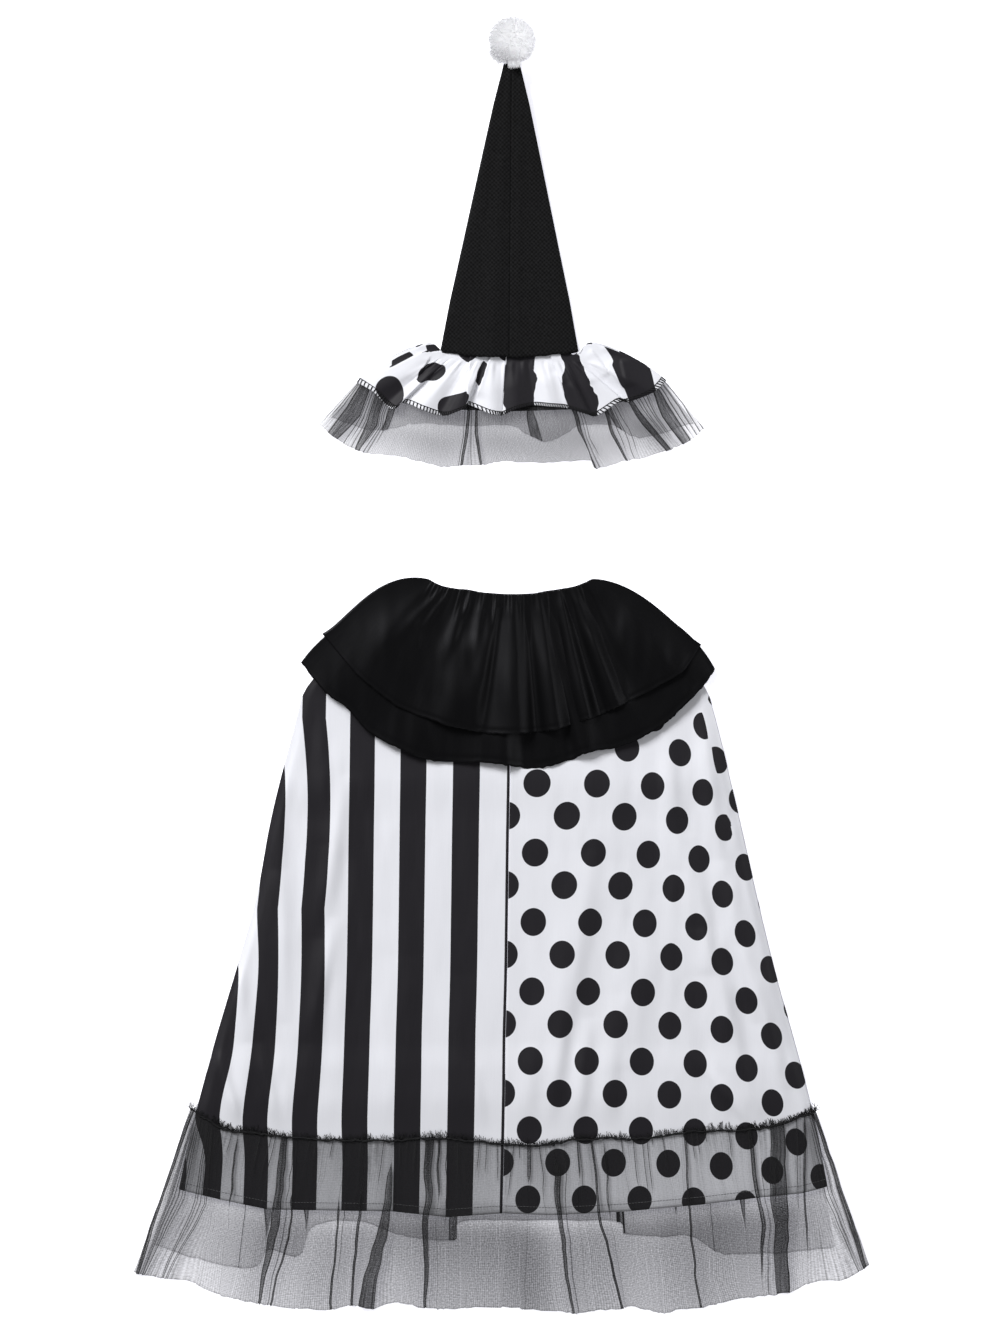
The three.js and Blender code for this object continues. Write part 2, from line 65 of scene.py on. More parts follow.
def high_corner(node):
    return np.array(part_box(node)[1]) / MM


SEAM_HALF_GAP = 0.15
NECK_TOP = 8  # the panels' highest point over the middle of the neck edge
CONE_BASE_DIP = 4  # the cone's lowest point under the middle of its base
CAPE_AT = np.array([
    high_corner("cape_front_striped")[0] + SEAM_HALF_GAP,
    high_corner("cape_front_striped")[1] - NECK_TOP,
    0,
])
HAT_AT = np.array([CAPE_AT[0], low_corner("hat_cone")[1] + CONE_BASE_DIP, 0])

# -------- cape tables

# Outline of the cape's tube.
CAPE_LEVELS = np.array([
    # height, left edge, centre seam, right edge
    [10, -80, 0, 80],
    [-45, -146, 0, 143],
    [-88, -213.5, 0, 204],
    [-150, -229, 0, 221],
    [-190, -240, 0, 230],
    [-240, -252, -1, 242],
    [-321, -266, -2, 260],
    [-400, -289, -3, 279],
    [-470, -310, -5, 299],
    [-500, -318, -5, 307],
    [-560, -334, -6, 322],
    [-650, -353, -8, 338],
])
COLLAR_FLAT_END = -190
COLLAR_RAMP_END = -240
FRILL_RAMP_START = -470
FRILL_FLAT_START = -500

# Bottom edges of the panels. Each point is its place across and its height.
FRONT_HEM = np.array([
    [-353, -625], [-305, -636], [-255, -646], [-124, -648], [-66, -654], [-8, -650],
    [45, -652], [121, -648], [200, -641], [259, -634], [310, -629], [338, -622],
])
BACK_HEM = np.array([
    [-350, -616], [-250, -598], [-120, -586], [0, -584], [120, -586], [250, -598], [336, -614],
])

# The dotted cloth turns away towards its side, which draws the print together there.
DOT_SPREAD = np.array([
    # height, print on the seam's side, print added at the side edge
    [10, 0.98, 0.13],
    [-199, 1.02, 0.13],
    [-271, 1.055, 0.13],
    [-344, 1.094, 0.10],
    [-417, 1.11, 0.074],
    [-650, 1.11, 0.07],
])

# A flat tuck in the dotted cloth near its side hides some of the print.
SIDE_TUCK = np.array([
    # depth below the neck, distance from the seam
    [100, 196], [125, 201.5], [168, 212.5], [193, 217], [240, 232],
])
SIDE_TUCK_CLOTH = 14

# Soft folds of the front panels. A fold's crest runs from one place to another, both measured from
# the centre seam. It falls off towards the seam and away from it, and takes up some cloth, which
# draws the print together there.
STRIPED_FOLDS = [
    # from, height there, to, height there, towards the seam, away, how high, cloth taken up
    (112, -180, 100, -560, 15, 15, 0.5, 1),
    (184, -130, 180, -330, 10, 10, 1.2, 9),
    (178, -280, 182, -600, 13, 13, 1.5, 5),
    (205, -240, 236, -600, 13, 13, 1.5, 3),
    (221, -130, 262, -420, 9, 9, 1.2, 4),
    (248, -360, 296, -620, 11, 11, 1.5, 3),
    (201, -120, 193, -262, 9, 11, 3.4, 0),
    (171, -190, 199, -360, 11, 10, 4.4, 0),
    (182, -340, 206, -470, 9, 12, 3.6, 0),
    (240, -290, 234, -450, 9, 13, 4.6, 0),
    (194, -350, 204, -530, 9, 12, 3.0, 0),
    (290, -350, 272, -470, 8, 8, 4.0, 0),
    (300, -480, 276, -570, 6, 8, 4.0, 0),
    (258, -470, 236, -570, 7, 9, 3.6, 0),
    (112, -380, 118, -580, 24, 24, 2.4, 0),
    (50, -400, 44, -580, 22, 22, 2.4, 0),
    (34, -490, 20, -580, 7, 9, 2.0, 0),
]
DOTTED_FOLDS = [
    # from, height there, to, height there, towards the seam, away, how high, print drawn together
    (87, -269, 47, -530, 26, 13, 4.6, 0),
    (88, -240, 80, -530, 9, 9, 0.6, 0.3),
    (88, -445, 74, -570, 10, 9, 3.8, 0),
    (62, -440, 46, -570, 9, 8, 2.2, 0),
    (186, -250, 212, -400, 18, 12, 5.6, 0),
    (204, -350, 268, -570, 20, 13, 6.4, 0),
    (158, -90, 178, -290, 14, 11, 4.6, 0),
    (196, -100, 224, -300, 10, 8, 4.8, 0.3),
    (222, -280, 268, -450, 14, 16, 5.4, 0),
    (246, -370, 296, -520, 10, 10, 4.2, 0),
    (140, -340, 132, -500, 22, 18, 3.0, 0),
    (172, -240, 170, -500, 9, 9, 0.8, 0.28),
    (196, -250, 200, -390, 8, 8, -1.4, 0.2),
    (196, -480, 266, -570, 7, 7, 2.4, 0),
    (28, -470, 20, -580, 12, 10, 2.0, 0),
    (118, -420, 104, -560, 14, 12, 2.6, 0),
    (262, -360, 296, -560, 9, 9, 0.8, 0.1),
    (92, -140, 108, -280, 24, 20, 1.8, 0),
]

# Gathered pieces have a row for each fold line: its start, its end at the free edge, how high it
# stands there where it does, and how far it bows outwards near the sides where it does.
UPPER_TIER = [
    # start x, start y, end x, end y, bow
    (-84, 15, -197, -42, 16.7),
    (-79, 12, -163, -82, 9),
    (-72, 9, -138, -103, 5),
    (-64, 7, -118, -118, 2),
    (-54, 5.5, -92, -129, 0),
    (-44, 4.7, -72, -136, 0),
    (-31, 2.1, -52, -141, 0),
    (-19, 1, -32, -145, 0),
    (-10, 0.3, -17, -147, 0),
    (-2, 0, -3, -147, 0),
    (8, 0, 11, -147, 0),
    (17, 0.4, 24, -146, 0),
    (26, 1, 38, -144, 0),
    (36, 3, 54, -141, 0),
    (43, 4, 65, -138, 0),
    (49, 4.8, 77, -133, 0),
    (55, 5.8, 90, -129, 0),
    (61, 6.8, 103, -123, 0),
    (67, 8, 115, -118, 0),
    (73, 10, 128, -111, 1),
    (79, 12.5, 155, -97, 4),
    (83, 14.5, 181, -82, 8),
    (86, 15.8, 200.5, -53, 11.5),
]
LOWER_TIER = [
    (-80, 11, -219.5, -71.5, 13),
    (-76, 9, -194, -103, 8),
    (-70, 7, -172, -119, 4),
    (-63, 5, -148, -145, 2),
    (-53, 3, -119, -161, 0),
    (-43, 2, -93, -172, 0),
    (-33, 0, -73, -176, 0),
    (-15, -2, -31, -177, 0),
    (-1, -2, -2, -180, 0),
    (13, -2, 29, -183, 0),
    (27, -1, 60, -175, 0),
    (37, 1, 83, -166, 0),
    (49, 3, 112, -161, 0),
    (59, 5, 139, -150, 0),
    (67, 7, 160, -138, 1),
    (73, 9, 174, -126, 3),
    (78, 11, 200, -100, 8),
    (82, 13, 215, -79, 16),
]
# Soft folds of the collar's front: the line of a crest, how far it falls off to its left and its
# right at the hem, how high it stands and, if not the whole way, how far down it runs. A trough has
# a negative height.
UPPER_TIER_FOLDS = [
    # x at the neck, x at the hem, left, right, height, from, to
    (-80, -170, 20, 26, 1.8, 0, 1.5),
    (-69, -158, 10, 8, 3.0, 0, 0.7),
    (-62, -140, 9, 7, 2.8, 0, 0.62),
    (-46, -68, 9, 8, -6.0, 0, 0.42),
    (-39, -96, 16, 9, 5.4, 0, 0.65),
    (-34, -68, 26, 22, 3.4, 0.3, 1.8),
    (-27, -52, 14, 8, 4.4, 0, 0.6),
    (-19, -20, 7, 6, -4.0, 0, 0.4),
    (-9, -42, 30, 13, 5.6, 0, 1.15),
    (-9, -27, 8, 15, -5.4, 0.05, 1.2),
    (-2, 2, 6, 6, 2.6, 0, 0.4),
    (4, 8, 26, 11, 6.0, 0, 1.7),
    (16, 29, 8, 9, -7.2, 0, 1.7),
    (30, 50, 14, 8, 4.6, 0, 1.6),
    (41, 67, 8, 10, -6.4, 0, 1.6),
    (51, 82, 13, 8, 4.6, 0, 1.5),
    (57, 97, 8, 10, -5.8, 0, 1.45),
    (66, 112, 13, 8, 4.6, 0, 1.35),
    (75, 127, 8, 12, -5.8, 0, 1.15),
    (82, 140, 12, 14, 2.4, 0, 0.8),
    (86, 176, 20, 22, 1.6, 0, 1.5),
]
LOWER_TIER_FOLDS = [
    (-74, -186, 20, 24, 1.6),
    (-42, -104, 34, 22, 3.0),
    (-30, -70, 20, 24, -2.2),
    (-2, -7, 28, 12, 4.0),
    (6, 18, 14, 26, -3.4),
    (26, 65, 16, 9, -2.8),
    (31, 78, 9, 22, 4.2),
    (44, 110, 18, 20, -2.0),
    (56, 140, 24, 20, 2.8),
    (72, 180, 14, 16, 1.6),
]
UPPER_BOW = (0.36, 2.5)  # where the bows are fullest, and how sharp they are
LOWER_BOW = (0.6, 2.5)
RUFFLE_BOW = (0.22, 1)

FRONT_FRILL = [
    # start x, start y, end x, end y, height
    (-334, -534, -395, -713, 0),
    (-318, -545, -372, -717, 5),
    (-300, -555, -340, -721, 0),
    (-280, -559, -311, -733, 4),
    (-258, -561, -285, -741, 0),
    (-237, -564, -262, -745, 5),
    (-205, -566, -225, -750, 0),
    (-175, -567, -190, -751, 5),
    (-155, -567, -168, -747, 0),
    (-126, -568, -146, -750, 7),
    (-108, -567, -125, -744, 0),
    (-83, -565, -91, -749, 6),
    (-60, -566, -66, -751, 0),
    (-38, -568, -38, -749, 4),
    (-10, -571, -4, -749, 0),
    (22, -573, 30, -752, 4),
    (41, -572, 55, -754, 0),
    (50, -570, 69, -755, 6),
    (69, -566, 92, -752, 0),
    (84, -566, 114, -750, 6),
    (105, -565, 129, -748, 0),
    (127, -566, 160, -755, 4),
    (155, -564, 180, -751, 0),
    (185, -558, 200, -749, 6),
    (215, -557, 235, -740, 0),
    (252, -556, 276, -736, 5),
    (268, -554, 283, -734, 1),
    (284, -550, 292, -733, 7),
    (300, -544, 318, -723, 0),
    (312, -540, 350, -719, 5),
    (319, -537, 377, -705, 0),
]
BACK_FRILL = [
    (-330, -536, -374, -683),
    (-300, -520, -340, -695),
    (-255, -512, -291, -707),
    (-236, -510, -266, -706),
    (-228, -509, -253, -689),
    (-196, -507, -220, -695),
    (-186, -507, -208, -665),
    (-150, -506, -163, -658),
    (-114, -505, -124, -671),
    (-86, -505, -94, -677),
    (-52, -504, -58, -678),
    (-48, -504, -52, -660),
    (0, -504, 0, -658),
    (100, -505, 113, -659),
    (106, -505, 119, -671),
    (140, -506, 157, -675),
    (170, -507, 190, -675),
    (200, -508, 220, -692),
    (226, -509, 247, -693),
    (272, -515, 300, -691),
    (315, -536, 341, -686),
]

# Pleats of the tulle: narrow folds where it doubles back on itself. Each has its place across at
# the gathers, half way and at the free edge, half its width at those three, and where it starts
# and ends as shares of the way down. One without a width is a sharp crease.
FRONT_PLEATS = [
    # top x, middle x, bottom x, top half, middle half, bottom half, from, to
    (-331, -365, -391, 1.2, 3, 1.4, 0, 1),
    (-284, -295, -305, 0.6, 0.9, 0.4, 0.03, 0.5),
    (-236, -246, -262, 3, 4.5, 1.0, 0, 1),
    (-226, -236, -253, 0, 0, 0, 0.03, 1),
    (-222, -230, -250, 0.5, 0.7, 0.7, 0.3, 1),
    (-172, -181, -190, 0.5, 0.8, 1.0, 0.35, 1),
    (-166, -175, -186, 0, 0, 0, 0.35, 0.9),
    (-152, -159, -168, 0.5, 1.2, 1.0, 0.3, 1),
    (-122, -133, -152, 1, 5, 8.5, 0.15, 1),
    (-84, -87, -91, 4.2, 3, 1.2, 0, 1),
    (-74, -76, -78, 0.8, 0.7, 0.4, 0, 0.4),
    (-66, -67, -69, 0, 0, 0, 0, 0.6),
    (4, -6, -10, 0, 0, 0, 0, 0.35),
    (20, 18, 14, 1.8, 0.8, 0.4, 0, 0.25),
    (45, 54, 66, 3.4, 2.2, 0.8, 0.1, 1),
    (55, 61, 71, 0, 0, 0, 0.1, 1),
    (70, 73, 80, 0.4, 0.5, 0.4, 0, 0.25),
    (84, 96, 117, 0.7, 1.0, 1.0, 0, 1),
    (97, 106, 121, 0.4, 0.8, 0.6, 0.05, 0.5),
    (128, 138, 150, 0, 0, 0, 0, 0.3),
    (183, 188, 200, 0.9, 0.8, 0.8, 0, 1),
    (250, 263, 266, 1.6, 1.8, 1.0, 0, 0.98),
    (260, 270, 272, 0, 0, 0, 0.2, 1),
    (280, 283, 287, 7.0, 8.0, 6.5, 0, 1),
    (300, 302, 309, 0, 0, 0, 0, 0.6),
    (308, 309, 314, 0.8, 0.8, 0.5, 0.02, 0.9),
    (317, 347, 372, 1.2, 3, 1.4, 0, 1),
]
BACK_PLEATS = [
    (-262, -274, -286, 0, 0, 0, 0, 1),
    (-240, -250, -258, 4, 6, 3, 0, 0.95),
    (-208, -212, -216, 3, 5, 4, 0, 0.9),
    (-118, -122, -126, 3, 2, 1, 0, 0.8),
    (-56, -58, -60, 2, 4, 4, 0, 1),
    (108, 112, 116, 2, 4, 5, 0, 1),
    (166, 172, 176, 2, 5, 4, 0, 0.9),
    (198, 206, 214, 0, 0, 0, 0, 1),
    (232, 240, 250, 2, 3, 2, 0, 0.9),
]
# How densely the net lies, for one layer of it: along the piece, at its top and at its free edge.
FRONT_NET = [
    # share along, over the cloth, at the free edge
    (0, 1.5, 1.3), (0.05, 1.0, 1.0), (0.1, 0.86, 1.3), (0.16, 0.84, 1.95), (0.3, 0.8, 2.2),
    (0.36, 0.8, 2.75), (0.43, 0.8, 3.05), (0.485, 0.78, 3.5), (0.53, 0.76, 2.35), (0.6, 0.72, 2.7),
    (0.7, 0.58, 2.25), (0.79, 0.52, 2.4), (0.84, 0.5, 2.15), (0.89, 0.52, 2.5), (0.925, 0.6, 1.65),
    (0.96, 0.8, 1.0), (1, 1.2, 0.9),
]
BACK_NET = [
    (0, 0.55, 0.55), (0.1, 0.6, 0.6), (0.2, 0.9, 0.9), (0.35, 1.0, 1.0), (0.6, 1.3, 1.3),
    (0.84, 1.3, 1.3), (0.92, 0.65, 0.65), (1, 0.55, 0.55),
]
HAT_NET = [
    (0, 1.2, 1.4), (0.1, 1.25, 1.25), (0.15, 1.25, 1.7), (0.2, 1.4, 1.75), (0.3, 1.5, 1.75),
    (0.36, 1.5, 1.6), (0.5, 1.75, 2.05), (0.65, 1.8, 2.1), (0.75, 1.5, 1.7), (0.83, 1.6, 1.55),
    (0.88, 1.5, 2.3), (0.94, 1.2, 0.75), (1, 0.7, 0.7),
]
BACK_HAT_NET = [(0, 0.8, 0.8), (1, 0.9, 0.9)]
# Fans of creases that gather into the frill's corners: how many, the first one's places at the
# top, half way and at the bottom, and the last one's.
CREASE_FANS = [
    (4, (-333.5, -376, -394.5), (-333, -371, -393.5)),
    (6, (-328.5, -357, -388), (-323, -342, -383)),
    (5, (-316, -330, -366), (-310, -318, -360)),
    (6, (306, 320, 360), (314, 338, 369)),
    (4, (318.8, 353, 374.5), (319, 357, 376.8)),
]

# -------- hat tables

RUFFLE_FRONT_LEFT = [
    # start x, start y, end x, end y, height, bow, and the print: from the seam at the start,
    # from the seam at the end, down at the start, down at the end
    (-73.4, -0.6, -161.5, -29.6, 0, 16.5, 92, 162, -20, 85),
    (-66, 0, -144, -39.6, 3, 2, 73, 119, -10, 92),
    (-60, 4, -131.5, -52, 0, 2, 61, 106, -10, 92),
    (-53, 5, -122, -58.3, 4, 2, 51, 96, -10, 92),
    (-47, 6, -112, -51, 0, 0, 43, 88, -10, 90),
    (-40, 6, -92.4, -58.5, 4, 0, 36, 66, -12, 90),
    (-34, 6, -75.6, -64, 1, 0, 29, 47, -14, 90),
    (-30, 6, -64, -64, 5, 0, 25, 35, -10, 90),
    (-25, 6, -47.6, -57, 6, 0, 14, 26, -4, 88),
    (-22, 6, -43.5, -53.5, 0, 0, 2, 4, -4, 84),
    (-15, 6, -21, -62.7, 5, 0, -2, -4, -4, 56),
    (-4, 6, -8.5, -64.6, 2, 0, -14, -14, -4, 56),
]
RUFFLE_FRONT_RIGHT = [
    (-4, 6, -8.5, -64.6, 2, 0, -1, 0, 0, 76),
    (6, 6, 7.4, -57.8, 5, 0, 9, 16, 0, 76),
    (18, 6, 25, -54, 0, 0, 21, 33, 0, 76),
    (30, 6, 42, -55.5, 5, 0, 33, 50, 0, 76),
    (39, 6, 59.7, -57, 1, 0, 46, 67, 0, 76),
    (47, 6, 79.8, -63.2, 6, 0, 60, 88, 0, 76),
    (53, 5, 92, -64.5, 1, 0, 70, 99.5, 0, 76),
    (56, 4, 115, -50, 4, 0, 78, 122, 0, 76),
    (60, 3, 125, -50, 0, 0, 84, 132.5, 0, 76),
    (65.5, -0.8, 150.6, -40, 4, 1, 92, 162, 0, 76),
    (73.4, -1, 163.7, -27.8, 0, 15.5, 118, 178, 0, 76),
]
# Tucks of the ruffle, where its cloth slips under itself: a line from one point to another, how
# much cloth goes under, how far the side that lies on top stands proud (the right one, or the
# left one if negative), and how far in that eases off.
LEFT_TUCKS = [
    # x, y, to x, to y, cloth, height, and whether all of the ruffle beyond it shifts
    (-132, -17, -88, 3, 34, 0.7, False),
    (-132, -10, -92, 9, 20, 0.5, False),
    (-100, 2, -70, 3, 13, 0.5, False),
    (-100, 9, -72, 10, 20, 0.5, False),
    (-84, -4, -99, -28, 4, -1.6, True),
    (-42, 0, -47, -62, 6, 2.4, True),
    (-19, 2, -35, -42, 18, 3.2, True),
]
RIGHT_TUCKS = [
    (40, 4, 54, -30, 3.5, 1.8, False),
    (50, -20, 60, -52, -3.0, -1.4, False),
    (70, 0, 84, -30, -3.5, 1.6, False),
    (86, 4, 104, -20, 4.0, -1.8, False),
    (100, -12, 118, -36, -3.0, 1.4, False),
    (116, -8, 122, -34, 3.0, 1.8, False),
]

RUFFLE_BACK_LEFT = [
    (-73.6, -0.6, -161, -29, 0, 17),
    (-66, 0, -128, -46, 0, 1),
    (-58, 4, -100, -54, 0, 0),
    (-35, 6, -62, -58, 0, 0),
    (0, 6, 0, -60, 0, 0),
]
RUFFLE_BACK_RIGHT = [
    (0, 6, 0, -60, 0, 0),
    (35, 6, 62, -58, 0, 0),
    (58, 3, 100, -54, 0, 0),
    (65.5, -0.8, 128, -46, 0, 0),
    (73.6, -1, 163, -27.4, 0, 17.6),
]
FRONT_EDGING = [
    # start x, start y, end x, end y, height
    (-157, -26, -201, -74, 0),
    (-143, -34, -176, -93, 3),
    (-128, -46, -150, -104, 5),
    (-110, -46, -120, -107, 0),
    (-92, -53, -95, -113, 3),
    (-74, -58, -73, -118, 0),
    (-50, -53, -52, -117, 5),
    (-42, -48, -40, -116, 0),
    (-30, -54, -27, -116, 4),
    (-8, -58, -11, -113, 0),
    (25, -47, 20, -114, 3),
    (45, -50, 48, -114, 0),
    (59, -51, 83, -111, 4),
    (75, -54, 91, -120, 0),
    (92, -57, 118, -113, 5),
    (108, -50, 143, -108, 0),
    (124, -43, 172, -99, 5),
    (145, -36, 190, -90, 0),
    (159, -24, 204, -78, 1),
]
BACK_EDGING = [
    (-156, -26, -188, -66),
    (-128, -40, -146, -80),
    (-108, -47, -116, -76),
    (-90, -50, -96, -73),
    (-40, -52, -42, -75),
    (0, -54, 2, -75),
    (14, -54, 16, -83),
    (34, -53, 38, -92),
    (54, -52, 58, -84),
    (68, -52, 74, -75),
    (100, -48, 108, -75),
    (122, -42, 138, -88),
    (157, -25, 193, -72),
]
FRONT_EDGING_PLEATS = [
    # top x, middle x, bottom x, top half, middle half, bottom half, from, to
    (-150, -164, -186, 4, 7, 5, 0, 1),
    (-136, -144, -160, 4, 5, 2, 0, 1),
    (-42, -46, -52, 1.2, 1.6, 1.0, 0, 1),
    (-35, -36, -31, 0.8, 1.4, 1.0, 0, 1),
    (65, 74, 91, 2.6, 2.0, 0.8, 0, 1),
    (99, 108, 122, 1.4, 1.4, 0.8, 0, 1),
    (122, 143, 167, 1.6, 3.4, 2.4, 0, 1),
    (150, 166, 186, 2, 5, 4, 0, 1),
]
EDGING_FANS = [
    (5, (-157, -178, -200), (-153, -170, -192)),
    (4, (-146, -157, -178), (-141, -151, -166)),
    (4, (-131, -138, -157), (-125, -130, -146)),
    (2, (-47, -50, -55), (-40, -41, -42)),
    (2, (70, 80, 95), (73, 84, 101)),
    (3, (103, 114, 125), (108, 124, 135)),
    (4, (128, 150, 172), (140, 156, 178)),
    (4, (154, 174, 193), (160, 184, 203)),
]
BACK_EDGING_PLEATS = [
    (-120, -126, -132, 2, 3, 3, 0, 1),
    (20, 24, 28, 2, 5, 6, 0, 1),
    (100, 106, 114, 2, 3, 3, 0, 1),
]

# -------- working functions


def ramp(at, start, end):
    """0 at and before start, 1 at and after end, and straight between."""
    return np.clip((np.asarray(at, float) - start) / (end - start), 0, 1)


def smooth(at, start, end):
    """A ramp with soft ends."""
    t = ramp(at, start, end)
    return t * t * (3 - 2 * t)


def window(at, start, full, fading, end):
    """Rises from start to full, and falls again from fading to end."""
    return smooth(at, start, full) * (1 - smooth(at, fading, end))


def bell(off, half):
    """1 where off is 0, falling away on both sides."""
    return np.exp(-((off / half) ** 2))


def bow_share(v, shape):
    """0 at both ends of a side line and 1 where its bow is fullest."""
    fullest, sharpness = shape
    early, late = fullest * sharpness, (1 - fullest) * sharpness
    most = fullest ** early * (1 - fullest) ** late
    return v ** early * (1 - v) ** late / most


NOISE_CELLS = 64  # after so many cells the heights repeat


def soft_noise(x, y, cell_x, cell_y, seed):
    """Smooth random heights from -1 to 1, with cells of that size, the same on each run."""
    heights = np.random.default_rng(SEED + seed).uniform(-1, 1, (NOISE_CELLS, NOISE_CELLS))
    gx, gy = np.asarray(x) / cell_x, np.asarray(y) / cell_y
    ix, iy = np.floor(gx).astype(int), np.floor(gy).astype(int)
    fx, fy = smooth(gx - ix, 0, 1), smooth(gy - iy, 0, 1)

    def corner(dx, dy):
        return heights[(ix + dx) % NOISE_CELLS, (iy + dy) % NOISE_CELLS]

    near = corner(0, 0) * (1 - fx) + corner(1, 0) * fx
    far = corner(0, 1) * (1 - fx) + corner(1, 1) * fx
    return near * (1 - fy) + far * fy


def noise_along(at, cell, seed):
    """The same along a line."""
    return soft_noise(at, 0 * at, cell, 1, seed)


def rounded(rows, at):
    """The table's columns at places from 0 to 1 along it, on a curve through every row."""
    rows = np.asarray(rows, float)
    last = len(rows) - 1
    place = np.clip(np.asarray(at, float), 0, 1) * last
    i = np.minimum(place.astype(int), last - 1)
    t = (place - i)[..., None]
    before, after = rows[np.maximum(i - 1, 0)], rows[np.minimum(i + 2, last)]
    a, b = rows[i], rows[i + 1]
    slope_a, slope_b = (b - before) / 2, (after - a) / 2
    return (
        a * (2 * t**3 - 3 * t**2 + 1) + slope_a * (t**3 - 2 * t**2 + t)
        + b * (3 * t**2 - 2 * t**3) + slope_b * (t**3 - t**2)
    )


def flat(v):
    return v * 0


# -------- meshes


def to_row(points, origin):
    """Millimetres from an origin to metres in the row frame."""
    return (np.asarray(points, float) + origin) * MM


def mesh_object(name, vertices, faces, material):
    mesh = bpy.data.meshes.new(name)
    mesh.from_pydata(vertices.tolist(), [], faces)
    mesh.update()
    piece = bpy.data.objects.new(name, mesh)
    bpy.context.scene.collection.objects.link(piece)
    mesh.materials.append(material)
    mesh.polygons.foreach_set("use_smooth", np.ones(len(mesh.polygons), bool))
    return piece


def grid(across, down):
    """Shares u across a sheet and v down it, at each of its points."""
    return np.meshgrid(np.linspace(0, 1, across), np.linspace(0, 1, down), indexing="ij")


def grid_faces(across, down):
    i, j = np.meshgrid(np.arange(across - 1), np.arange(down - 1), indexing="ij")
    a = (i * down + j).ravel()
    return np.stack([a, a + 1, a + down + 1, a + down], 1).tolist()


def ring_faces(rings, around):
    """The faces between rings of so many points that follow each other."""
    faces = []
    for start in range(0, (rings - 1) * around, around):
        for a in range(around):
            b = (a + 1) % around
            faces.append([start + a, start + b, start + around + b, start + around + a])
    return faces


def store(mesh, name, kind, values):
    attribute = mesh.attributes.new(name, kind, "POINT")
    field = "vector" if kind == "FLOAT_VECTOR" else "value"
    attribute.data.foreach_set(field, np.asarray(values, np.float32).ravel())


def thicken(piece, thickness, offset=0):
    wall = piece.modifiers.new("wall", "SOLIDIFY")
    wall.thickness = thickness * MM
    wall.offset = offset


def cloth_sheet(name, points, cloth, material, origin):
    """A sheet from points[i, j], with i across it and j down it. cloth holds each point's place on
    the flat cloth, which the print and the weave follow."""
    across, down = points.shape[:2]
    vertices = to_row(points.reshape(-1, 3), origin)
    piece = mesh_object(name, vertices, grid_faces(across, down), material)
    places = np.zeros((across * down, 3))
    places[:, :2] = cloth.reshape(-1, 2) * MM
    store(piece.data, "cloth", "FLOAT_VECTOR", places)
    return piece


def unit(vectors):
    return vectors / (np.linalg.norm(vectors, axis=1, keepdims=True) + 1e-12)


NEARLY_UP = (0, 0.02, 1)  # no thread runs exactly this way


def tube(path, radius, sides):
    """A round thread along path, an array of points in metres: its vertices and faces."""
    step = unit(np.gradient(path, axis=0))
    side = unit(np.cross(step, NEARLY_UP))
    over = np.cross(side, step)
    angles = np.linspace(0, 2 * math.pi, sides, endpoint=False)
    rings = (
        path[:, None] + radius * np.cos(angles)[None, :, None] * side[:, None]
        + radius * np.sin(angles)[None, :, None] * over[:, None]
    )
    start = list(range(sides))[::-1]
    end = [(len(path) - 1) * sides + a for a in range(sides)]
    return rings.reshape(-1, 3), [*ring_faces(len(path), sides), start, end]


def joined(name, parts, material):
    """One object from several (vertices, faces)."""
    vertices, faces, start = [], [], 0
    for part_vertices, part_faces in parts:
        vertices.append(part_vertices)
        faces += [[i + start for i in face] for face in part_faces]
        start += len(part_vertices)
    return mesh_object(name, np.concatenate(vertices), faces, material)


def ready(piece, node):
    """Puts a piece on the body, in the place of its CAD node if it has one."""
    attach(piece, "root")
    if node:
        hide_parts(node)
    return piece


# -------- materials

EDGE_BLUR = 0.35  # width of a print's edge


